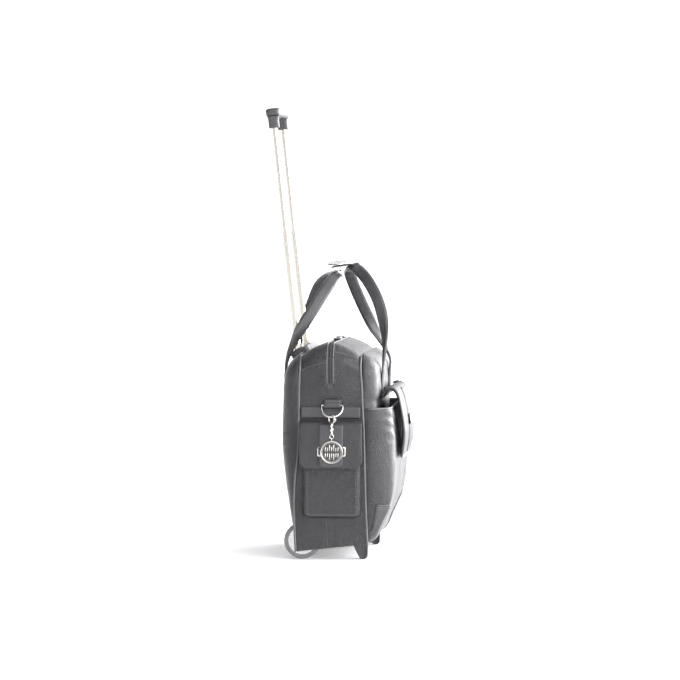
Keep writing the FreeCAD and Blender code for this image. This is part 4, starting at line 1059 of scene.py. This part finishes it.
lev = [Vector((wx, -4.5, 0)) + DL * 10.3 + Vector((0, 0, hz - 3.8)), Vector((wx, -4.5, 0)) + DL * 11.4 + Vector((0, 0, hz - 2.2)), Vector((wx, -4.5, 0)) + DL * 12.1 + Vector((0, 0, hz - 0.6)), Vector((wx, -4.5, 0)) + DL * 12.4 + Vector((0, 0, hz + 1.4))]
add("snap_hook_lever", *tube(resample(lev, 0.5), 1.15, n=12), NICKEL, "clip_lever", ("clip_lever",), slot="nickel")

# charm: a dark disc in a double bright rim, with a raised lattice of lozenges
R0 = 20.5
prof = [(19.2, 0), (20.2, 0.25), (20.5, 1.0), (20.5, 2.0), (20.2, 2.75), (19.7, 3.0), (19.0, 2.9), (18.5, 2.4), (18.1, 1.9), (17.7, 1.9), (17.2, 2.35), (16.8, 2.35), (16.5, 1.9), (16.3, 1.6)]


def lathe(prof, n, at, u_dir=-1):
    return [[Vector((at[0] + u_dir * (h - 1.5), at[1] + r_ * math.cos(2 * math.pi * i / n), at[2] + r_ * math.sin(2 * math.pi * i / n))) for i in range(n)] for r_, h in prof]


at = (wx, -4.5, cz_)
rim_v, rim_f = shell(lathe(prof, 120, at), 0.8, flip=True, closed=True, round_rim=False)
back_prof = [(0.05, 0.25), (10, 0.25), (18.6, 0.25), (19.2, 0.6), (19.0, 1.2), (18.4, 1.8), (16.3, 1.9), (10, 1.9), (0.05, 1.9)]
link_path = [Vector((wx + 3.4 * math.sin(2 * math.pi * i / 28), -4.5, lz + 3.4 * math.cos(2 * math.pi * i / 28))) for i in range(28)]
loz = []
for yy in (-11.4, -7.6, -3.8, 0.0, 3.8, 7.6, 11.4):
    reach = math.sqrt(15.4 ** 2 - yy ** 2) * (0.92 if round(yy / 3.8) % 2 else 0.66)
    for sg in (-1, 1):
        loz.append(tube([Vector((wx - 0.5, -4.5 + yy, cz_ + sg * t * reach)) for t in (0.16, 0.24, 0.6, 0.94, 1.0)], [0.35, 0.85, 0.95, 0.85, 0.35], n=10))
add("charm_rim", *merge((rim_v, rim_f), tube(link_path, 0.85, n=10, closed=True), *loz), NICKEL, "charm", ("charm",), slot="nickel", sharp=40)
add("charm_face", *shell(lathe(back_prof, 96, at), 0.3, flip=False, closed=True, round_rim=False), DARK, "charm", slot="nickel", sharp=40)

# rear luggage band
rows = []
for j in range(14):
    z = lerp(201.5, 232.5, j / 13)
    e = min(1, (z - 201.5) / 4, (232.5 - z) / 4)
    row = []
    for i in range(150):
        x = lerp(-205.0, 205.0, i / 149)
        p = rear_surf(x, z, 4.0, 1.0)
        row.append(Vector((x * 1.006, p.y + 1.6 * math.sqrt(max(0, e)) + 1.0, z)))
    rows.append(row)
add("rear_band_leather", *shell(rows, 2.2, flip=True), STRAP, "case", ("rear_luggage_band",))
for z in (204.6, 229.4):
    stitch([Vector((x, rear_surf(x, z, 4.0, 1.0).y + 2.55, z)) for x in [lerp(-190, 190, i / 60) for i in range(61)]], (0, 1, 0), "case")

# ---------------------------------------------------------------- carry handles
def catmull(points, step=3.0):
    p = [Vector(q) for q in points]
    out = []
    for i in range(len(p) - 1):
        a = p[i - 1] if i else p[0] * 2 - p[1]
        b, c = p[i], p[i + 1]
        d = p[i + 2] if i + 2 < len(p) else c * 2 - b
        n = max(2, int((c - b).length / step))
        for j in range(n):
            t = j / n
            out.append(0.5 * ((2 * b) + (c - a) * t + (2 * a - 5 * b + 4 * c - d) * t * t + (3 * b - a - 3 * c + d) * t ** 3))
    out.append(p[-1])
    return resample(out, step)


def strap(points, half, thick, normal, mid, seed=0.0, end=10.0, twist=(60, 170)):
    """A flat strap with rounded edges: its width lies along X at both ends and along mid between them."""
    pts = catmull(points)
    k = len(pts)
    total = (k - 1) * 3.0
    sec = []
    for i in range(28):
        a = 2 * math.pi * i / 28
        ca, sa = math.cos(a), math.sin(a)
        sec.append((math.copysign(abs(ca) ** 0.45, ca), math.copysign(abs(sa) ** 0.62, sa)))
    rings, wid, nor = [], [], []
    for i, p in enumerate(pts):
        a, b = pts[max(0, i - 1)], pts[min(k - 1, i + 1)]
        t = (b - a).normalized()
        s = min(i, k - 1 - i) * 3.0
        w = smooth((s - twist[0]) / (twist[1] - twist[0]))
        first = i < k / 2
        side = Vector((1, 0, 0)) if first else Vector((-1, 0, 0))
        goal = Vector(mid)
        d = side.lerp(goal, w)
        d = (d - t * d.dot(t))
        if d.length < 1e-4:
            d = goal
        d.normalize()
        n_ = t.cross(d)
        e = 1.0
        if s < end:
            e = math.sqrt(max(0.02, 1 - (1 - s / end) ** 2))
        th = lerp(thick * 0.55, thick, smooth((s - 45) / 40))
        q = p + d * rumple(p, 60, 0.8, seed) + n_ * rumple(p, 45, 0.6, seed + 1)
        rings.append([q + d * (half * e * c) + n_ * (th / 2 * s2) for c, s2 in sec])
        wid.append(d)
        nor.append((n_, th, half * e, q))
    v = [tuple(p) for r_ in rings for p in r_]
    f = []
    for i in range(k - 1):
        for j in range(28):
            f.append((i * 28 + j, i * 28 + (j + 1) % 28, (i + 1) * 28 + (j + 1) % 28, (i + 1) * 28 + j))
    f.append(tuple(range(28))[::-1])
    f.append(tuple((k - 1) * 28 + j for j in range(28)))
    return v, f, wid, nor


def flip_if_inside(verts, faces):
    """Turns the faces outward, by the sign of the enclosed volume."""
    vol = 0.0
    for q in faces:
        a = Vector(verts[q[0]])
        for i in range(1, len(q) - 1):
            vol += a.dot(Vector(verts[q[i]]).cross(Vector(verts[q[i + 1]])))
    return [tuple(reversed(q)) for q in faces] if vol < 0 else faces


FRONT_PATH = [(-101, -85.4, 296), (-101, -86.6, 315), (-101, -88.0, 335), (-101.5, -90, 356), (-103, -91.5, 386), (-103.5, -90, 424), (-94, -80, 463), (-70, -61, 498), (-34, -40, 520), (0, -26, 526), (34, -17, 518), (62, -22, 494), (84, -36, 458), (97, -55, 416), (101, -76, 380), (101, -88.5, 355), (101, -88.0, 335), (101, -86.6, 315), (101, -85.4, 296)]
REAR_PATH = [(-113, 87.0, 290), (-113, 88.2, 312), (-113, 88.6, 332), (-114, 86.5, 355), (-115, 79, 379), (-115, 65, 408), (-111, 47, 438), (-96, 29, 468), (-66, 13, 494), (-32, 4, 509), (0, 2, 512), (32, 8, 511), (64, 24, 506), (90, 43, 490), (106, 57, 462), (113, 71, 424), (115, 82, 388), (114, 88, 356), (113, 88.6, 332), (113, 88.2, 312), (113, 87.0, 290)]
for nm, path, mid, body, rep, z0, z1 in (
    ("front_carry_strap", FRONT_PATH, (0, 0.9, -0.42), "front_handle", ("front_handle", "handle_anchors"), 328, 366),
    ("rear_carry_strap", REAR_PATH, (0, -0.86, -0.5), "rear_handle", ("rear_handle",), 322, 362),
):
    v, f, wid, nor = strap(path, 9.2, 7.6, None, mid, seed=len(nm))
    o = add(nm, v, flip_if_inside(v, f), STRAP, "case", rep, ride=False)
    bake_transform(o)
    # painted edges and stitching, in the strap's own pieces above the sewn ends
    k = len(nor)
    lo = int(75 / 3)
    for sgn in (-1, 1):
        edge = [nor[i][3] + wid[i] * (sgn * (nor[i][2] - 0.35)) for i in range(lo, k - lo)]
        add(nm + ("_edge_a" if sgn < 0 else "_edge_b"), *tube(edge, [max(1.4, nor[i][1] * 0.42) * 0.62 for i in range(lo, k - lo)], n=10), EDGE, body, slot="edge_leather")
        for face in (-1, 1):
            line = [nor[i][3] + wid[i] * (sgn * (nor[i][2] - 3.0)) + nor[i][0] * (face * (nor[i][1] / 2 * 0.985)) for i in range(lo, k - lo)]
            vs = STITCHES.setdefault(body, [])
            pts = line
            m = len(pts)
            for i in range(1, m - 1, 1):
                if i % 3 == 2:
                    continue
            rs = resample(line, 4.4)
            for i in range(1, len(rs) - 1):
                j = min(m - 1, max(0, int(round(i / (len(rs) - 1) * (m - 1)))))
                nn = nor[lo + j][0] * face
                stitch([rs[i] - (rs[i + 1] - rs[i - 1]).normalized() * 0.01, rs[i] + (rs[i + 1] - rs[i - 1]).normalized() * 0.01], nn, body, pitch=50)
    # two rows of stitching along each sewn end
    for i0 in ((2, 14), (k - 15, k - 3)):
        for sgn in (-1, 1):
            outward = -1 if body == "front_handle" else 1
            line = [nor[i][3] + wid[i] * (sgn * 6.4) + Vector((0, outward * nor[i][1] / 2 * 0.99, 0)) for i in range(i0[0], i0[1] + 1)]
            stitch(line, (0, outward, 0), "case", pitch=3.9, length=2.7)

# keeper round the front handle's top, and the tab that joins the two handles
v, f = [], []
pts = catmull(FRONT_PATH)
_, _, wid, nor = strap(FRONT_PATH, 9.2, 7.6, None, (0, 0.9, -0.42), seed=len("front_carry_strap"))
mids = [i for i, p in enumerate(pts) if abs(p.x) < 14.5 and p.z > 500]
rws = []
for n_i, i in enumerate(mids):
    n_, th, hf, q = nor[i]
    e = min(n_i, len(mids) - 1 - n_i)
    g = 1.9 - (0.9 if e == 0 else 0)
    rws.append([q + wid[i] * ((hf + g) * math.copysign(abs(math.cos(2 * math.pi * j / 30)) ** 0.5, math.cos(2 * math.pi * j / 30))) + n_ * ((th / 2 + g) * math.copysign(abs(math.sin(2 * math.pi * j / 30)) ** 0.6, math.sin(2 * math.pi * j / 30))) for j in range(30)])
v, f = shell(rws, 1.4, closed=True)
add("handle_keeper_leather", v, flip_if_inside(v, f), LEATHER, "front_handle")
tab = []
tp = catmull([(0, -30.5, 529.6), (0, -24, 531.8), (0, -16, 531.6), (0, -4, 529.8), (0, 6, 528.6), (0, 13.5, 526.8)], 1.5)
kk = len(tp)
for j, p in enumerate(tp):
    a, b = tp[max(0, j - 1)], tp[min(kk - 1, j + 1)]
    left = (kk - 1 - j) * 1.5
    hw = 15 - (13 - math.sqrt(max(0, 169 - (13 - left) ** 2)) if left < 13 else 0)
    tab.append([Vector((lerp(-hw, hw, i / 19), p.y, p.z + 0.3 * math.sin(i / 19 * math.pi))) for i in range(20)])
v, f = shell(tab, 2.8)
o = add("handle_join_tab", v, flip_if_inside(v, f), LEATHER, "handle_tab", ("handle_tab",), ride=False)
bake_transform(o)
stitch([r_[1] + Vector((0.8, 0, 0.1)) for r_ in tab[13:-9]], (0, 0, 1), "handle_tab", pitch=3.4, length=2.4)
stitch([r_[-2] + Vector((-0.8, 0, 0.1)) for r_ in tab[13:-9]], (0, 0, 1), "handle_tab", pitch=3.4, length=2.4)
mtilt = Matrix.Rotation(math.radians(-8.0), 3, "Y") @ Matrix.Rotation(math.radians(-5.0), 3, "X")
mc = Vector((0, 3.4, 531.6))


def disc_z(prof, n, centre, tilt_):
    return [[centre + tilt_ @ Vector((r_ * math.cos(2 * math.pi * i / n), r_ * math.sin(2 * math.pi * i / n), h)) for i in range(n)] for r_, h in prof]


v, f = shell(disc_z([(4.0, -1.6), (4.2, 0.0), (16.0, 0.2), (18.2, 0.5), (18.6, 1.2), (18.4, 2.1), (17.6, 2.7), (16.6, 2.8), (15.8, 2.3), (15.2, 1.9), (15.0, 2.2), (13, 2.6), (8, 3.0), (0.05, 3.1)], 96, mc, mtilt), 0.4, closed=True, round_rim=False)
pat = []
for ring_i in range(1, 6):
    r_ = 2.6 * ring_i
    m = 5 * ring_i
    for j in range(m):
        a = 2 * math.pi * (j + 0.5 * (ring_i % 2)) / m
        c = mc + mtilt @ Vector((r_ * math.cos(a), r_ * math.sin(a), 3.05 - 0.0022 * r_ * r_))
        pat.append(tube([c + Vector((0, 0, -0.4)), c + Vector((0, 0, 0.1)), c + Vector((0, 0, 0.35))], [0.8, 0.7, 0.35], n=6))
v2, f2 = merge((v, flip_if_inside(v, f)), *pat)
add("handle_medallion_metal", v2, f2, NICKEL, "handle_tab", ("handle_medallion",), slot="nickel", sharp=40)

# ---------------------------------------------------------------- pull handle's grip and button
def CH(x, y, z):
    return CHO + CHR @ Vector((x, y, z))


def bar(x0, x1, hy, hz, cz, n=36, power=0.55, round_=7.0, notch=None, m=64):
    rows = []
    for i in range(m):
        t = i / (m - 1)
        x = lerp(x0, x1, 0.5 - 0.5 * math.cos(math.pi * t))
        d = min(x - x0, x1 - x)
        e = math.sqrt(max(0.0, 1 - (1 - min(1, d / round_)) ** 2)) if d < round_ else 1.0
        e = max(e, 0.02)
        row = []
        for j in range(n):
            a = 2 * math.pi * (j + 0.5) / n
            c, s = math.cos(a), math.sin(a)
            y = hy * math.copysign(abs(c) ** power, c)
            z = hz * math.copysign(abs(s) ** power, s)
            g = 0.965 if notch is not None and abs(z - notch) < hz * 0.09 else 1.0
            row.append(CH(x, y * g * lerp(0.55, 1, e), cz + z * e))
        rows.append(row)
    v = [tuple(p) for r_ in rows for p in r_]
    f = []
    for i in range(m - 1):
        for j in range(n):
            f.append((i * n + j, i * n + (j + 1) % n, (i + 1) * n + (j + 1) % n, (i + 1) * n + j))
    f.append(tuple(range(n))[::-1])
    f.append(tuple((m - 1) * n + j for j in range(n)))
    return v, flip_if_inside(v, f)


def sleeve(x, hy, hx, z0, z1, n=40, power=0.5):
    prof = [(0.86, z0 - 0.0), (0.97, z0 + 0.6), (1.0, z0 + 1.8), (1.0, lerp(z0, z1, 0.6)), (1.04, lerp(z0, z1, 0.85)), (1.14, z1), (0.5, z1 + 1.5)]
    rows = []
    for sc, z in prof:
        rows.append([CH(x + hx * sc * math.copysign(abs(math.cos(2 * math.pi * j / n)) ** power, math.cos(2 * math.pi * j / n)), hy * sc * math.copysign(abs(math.sin(2 * math.pi * j / n)) ** power, math.sin(2 * math.pi * j / n)), z) for j in range(n)])
    v = [tuple(p) for r_ in rows for p in r_]
    f = []
    for i in range(len(prof) - 1):
        for j in range(n):
            f.append((i * n + j, i * n + (j + 1) % n, (i + 1) * n + (j + 1) % n, (i + 1) * n + j))
    f.append(tuple(range(n))[::-1])
    f.append(tuple((len(prof) - 1) * n + j for j in range(n)))
    return v, flip_if_inside(v, f)


add("grip_moulding", *merge(bar(-101, 101, 12.5, 8, 789, notch=-1.0, n=60), sleeve(-90, 9.6, 10.0, 760.5, 782), sleeve(90, 9.6, 10.0, 760.5, 782)), PLASTIC, "trolley_inner", ("grip_body", "grip_cover"), slot="plastic", sharp=45)
add("grip_button_pad", *bar(-19.3, 19.3, 5.8, 4.2, 795.3, round_=4.5, m=30), PLASTIC, "release", ("release_button",), slot="plastic", sharp=45)

# plate round the posts: rounded, tilted with the back of the top, with a raised lip round each post
BT = Matrix.Rotation(math.radians(-24.9), 3, "X")


def plate(x, y, z):
    return CH(0, -2.6, 351.5) + CHR @ (BT @ Vector((x, y, z)))


loop = []
for (cx, cy, a0) in ((97.5, 10.5, 0), (-97.5, 10.5, 90), (-97.5, -10.5, 180), (97.5, -10.5, 270)):
    for i in range(9):
        a = math.radians(a0 + 11.25 * i)
        loop.append((cx + 8 * math.cos(a), cy + 8 * math.sin(a)))
loop = [(p.x, p.y) for p in resample([(a, b, 0) for a, b in loop], 3.0, closed=True)]
rws = []
for inset, h in ((0.5, -16.0), (0.4, -3.0), (0.0, -0.6), (0.0, 0.6), (0.4, 1.5), (1.1, 2.1), (2.0, 2.0), (2.6, 1.5)):
    rws.append([plate(x * (1 - inset / 105.5), y * (1 - inset / 18.5), h) for x, y in loop])
parts = [shell(rws, 1.2, closed=True, round_rim=False)]
for kx in (-1, 1):
    ring = []
    for sc, h in ((0.6, -12.0), (1.0, 0.5), (1.05, 2.8), (1.0, 4.4), (0.9, 4.9), (0.84, 4.2), (0.82, -8.0)):
        ring.append([plate(kx * 90 + 13.6 * sc * math.copysign(abs(math.cos(2 * math.pi * j / 40)) ** 0.5, math.cos(2 * math.pi * j / 40)) - (0 if h < 20 else 0), 2.9 + 11.2 * sc * math.copysign(abs(math.sin(2 * math.pi * j / 40)) ** 0.5, math.sin(2 * math.pi * j / 40)), h) for j in range(40)])
    parts.append(shell(ring[1:6], 0.8, closed=True, round_rim=False))
for xa, xb, ya, yb in ((-78.4, 78.4, -16, 16), (77.5, 103.2, -16, -6.6), (-103.2, -77.5, -16, -6.6), (77.5, 103.2, 12.4, 16), (-103.2, -77.5, 12.4, 16)):
    mid = [[plate(lerp(xa, xb, i / 19), lerp(ya, yb, j / 5), 1.2) for i in range(20)] for j in range(6)]
    parts.append(shell(mid, 2.0, round_rim=False))
add("post_bezel", *merge(*parts), PLASTIC, "case", ("trolley_bezel",), slot="plastic", sharp=45)

# zip pull tabs
for side, k in (("left", -1), ("right", 1)):
    rows = []
    pp = [(k * lerp(20.6, 48, i / 30), 395.2 + 0.7 * math.sin(i / 30 * math.pi)) for i in range(31)]
    for j, (x, z) in enumerate(pp):
        left = abs(48 - abs(x))
        hw = 6.6 - (5.5 - math.sqrt(max(0, 5.5 ** 2 - (5.5 - left) ** 2)) if left < 5.5 else 0)
        if j < 8:
            hw = lerp(2.6, 6.6, smooth(j / 8))
        rows.append([Vector((x, lerp(-hw, hw, i / 9), z)) for i in range(10)])
    v, f = shell(rows, 2.2)
    add("zip_pull_leather_" + side, v, flip_if_inside(v, f), STRAP, "zip_pull_" + side, ("zip_pull_" + side,))
    stitch([Vector((k * lerp(22, 45, i / 8), y, 395.95)) for y in (-4.6,) for i in range(9)], (0, 0, 1), "zip_pull_" + side, pitch=3.4, length=2.4)
    stitch([Vector((k * lerp(22, 45, i / 8), 4.6, 395.95)) for i in range(9)], (0, 0, 1), "zip_pull_" + side, pitch=3.4, length=2.4)

# laptop sleeve: quilted cloth
rows = []
for j in range(60):
    z = lerp(2, 249, j / 59)
    row = []
    for i in range(90):
        x = lerp(-186, 186, i / 89)
        e = min(1, (186 - abs(x)) / 6, (z - 2) / 6, (249 - z) / 6)
        q = abs(math.sin(math.pi * (x + z) / 40)) * abs(math.sin(math.pi * (x - z) / 40))
        row.append(CH(x, -44 + 1.4 * math.sqrt(max(0, e)) + 1.3 * q ** 0.5 + 1.2, z))
    rows.append(row)
v, f = shell(rows, 4.6)
add("laptop_sleeve_cloth", v, flip_if_inside(v, f), INNER, "case", ("laptop_sleeve",), slot="lining")

for body, parts in STITCHES.items():
    v, f = merge(*parts)
    add("stitching_" + body, v, f, THREAD, body, slot="leather")

# ---------------------------------------------------------------- finishes of the nodes that stay
FINISH = {
    "base_board": PLASTIC, "wheel_housings": PLASTIC, "wheel_axles": STEEL, "trolley_brackets": STEEL, "outer_tubes": TUBE,
    "chassis_screws": STEEL, "back_board": PLASTIC, "wheel_tyre_left": RUBBER, "wheel_tyre_right": RUBBER,
    "wheel_hub_left": DISC, "wheel_hub_right": DISC, "wheel_bearings_left": STEEL, "wheel_bearings_right": STEEL,
    "middle_tubes": TUBE, "middle_tube_collars": TUBE, "middle_tube_plugs": PLASTIC, "inner_tubes": TUBE, "inner_tube_plugs": PLASTIC,
    "release_rods": STEEL, "snap_stud": NICKEL, "zip_slider_left": NICKEL, "zip_slider_right": NICKEL,
}
for name, mat in FINISH.items():
    if name in NODES:
        o = NODES[name]
        if not o.material_slots:
            o.data.materials.append(mat)
        for s in o.material_slots:
            s.material = mat

# ---------------------------------------------------------------- floor, world, light, camera
me = bpy.data.meshes.new("floor")
me.from_pydata([(-30, -30, -0.0005), (30, -30, -0.0005), (30, 30, -0.0005), (-30, 30, -0.0005)], [], [(0, 1, 2, 3)])
floor = bpy.data.objects.new("floor", me)
bpy.context.scene.collection.objects.link(floor)
me.materials.append(FLOOR)

scene = bpy.context.scene
scene.view_settings.view_transform = "Standard"
world = bpy.data.worlds.new("studio")
scene.world = world
world.use_nodes = True
wn, wl = world.node_tree.nodes, world.node_tree.links
bg = wn["Background"]
tc = wn.new("ShaderNodeTexCoord")
sep = wn.new("ShaderNodeSeparateXYZ")
wl.new(tc.outputs["Generated"], sep.inputs[0])


def ramp(src, a, b, lo, hi):
    r = wn.new("ShaderNodeMapRange")
    r.interpolation_type = "SMOOTHSTEP"
    for i, x in enumerate((a, b, lo, hi)):
        r.inputs[i + 1].default_value = x
    wl.new(src, r.inputs[0])
    return r.outputs[0]


def mul(a, b):
    m = wn.new("ShaderNodeMath")
    m.operation = "MULTIPLY"
    wl.new(a, m.inputs[0])
    wl.new(b, m.inputs[1])
    return m.outputs[0]


def plus(a, b):
    m = wn.new("ShaderNodeMath")
    m.operation = "ADD"
    wl.new(a, m.inputs[0])
    wl.new(b, m.inputs[1])
    return m.outputs[0]


def lobe(direction, power, strength):
    d = wn.new("ShaderNodeVectorMath")
    d.operation = "DOT_PRODUCT"
    d.inputs[1].default_value = Vector(direction).normalized()
    wl.new(tc.outputs["Generated"], d.inputs[0])
    m = wn.new("ShaderNodeMath")
    m.operation = "MAXIMUM"
    m.inputs[1].default_value = 0
    wl.new(d.outputs["Value"], m.inputs[0])
    q = wn.new("ShaderNodeMath")
    q.operation = "POWER"
    q.inputs[1].default_value = power
    wl.new(m.outputs[0], q.inputs[0])
    z = wn.new("ShaderNodeMath")
    z.operation = "MULTIPLY"
    z.inputs[1].default_value = strength
    wl.new(q.outputs[0], z.inputs[0])
    return z.outputs[0]


back = ramp(sep.outputs[0], 0.45, 0.9, 0.2, 1.25)
level = plus(plus(back, lobe((-0.55, -0.5, 0.66), 3.0, 2.2)), plus(lobe((0.1, -1, 0.12), 4.0, 4.6), plus(lobe((0.72, -0.68, 0.1), 14.0, 16.0), plus(lobe((-0.86, -0.3, 0.42), 9.0, 1.6), lobe((-0.72, -0.66, 0.16), 14.0, 5.5)))))
wl.new(level, bg.inputs["Strength"])
bg.inputs["Color"].default_value = (0.985, 0.98, 1.0, 1)


def area(name, at, look, size, power, color=(1, 1, 1)):
    d = bpy.data.lights.new(name, "AREA")
    d.shape = "RECTANGLE"
    d.size, d.size_y = size
    d.energy = power
    d.color = color
    o = bpy.data.objects.new(name, d)
    scene.collection.objects.link(o)
    o.location = at
    o.rotation_euler = (Vector(look) - Vector(at)).to_track_quat("-Z", "Y").to_euler()
    return o


area("front_panel_light", (-1.1, -2.4, 1.1), (0, 0, 0.3), (1.6, 1.6), 16)
area("over_light", (-0.9, -0.5, 2.3), (0, 0, 0.3), (1.2, 1.2), 5)

psi, phi = math.radians(4.4), math.radians(1.856)
fwd = Vector((math.cos(psi) * math.cos(phi), math.sin(psi) * math.cos(phi), -math.sin(phi)))
p0 = Vector(M((-210, -18, 397.8)))
cam = bpy.data.cameras.new("camera")
cam.lens, cam.sensor_width = 220.6, 36
cam.clip_end = 100
co = bpy.data.objects.new("camera", cam)
scene.collection.objects.link(co)
co.location = p0 - fwd * 7.5
co.rotation_euler = fwd.to_track_quat("-Z", "Y").to_euler()
scene.camera = co
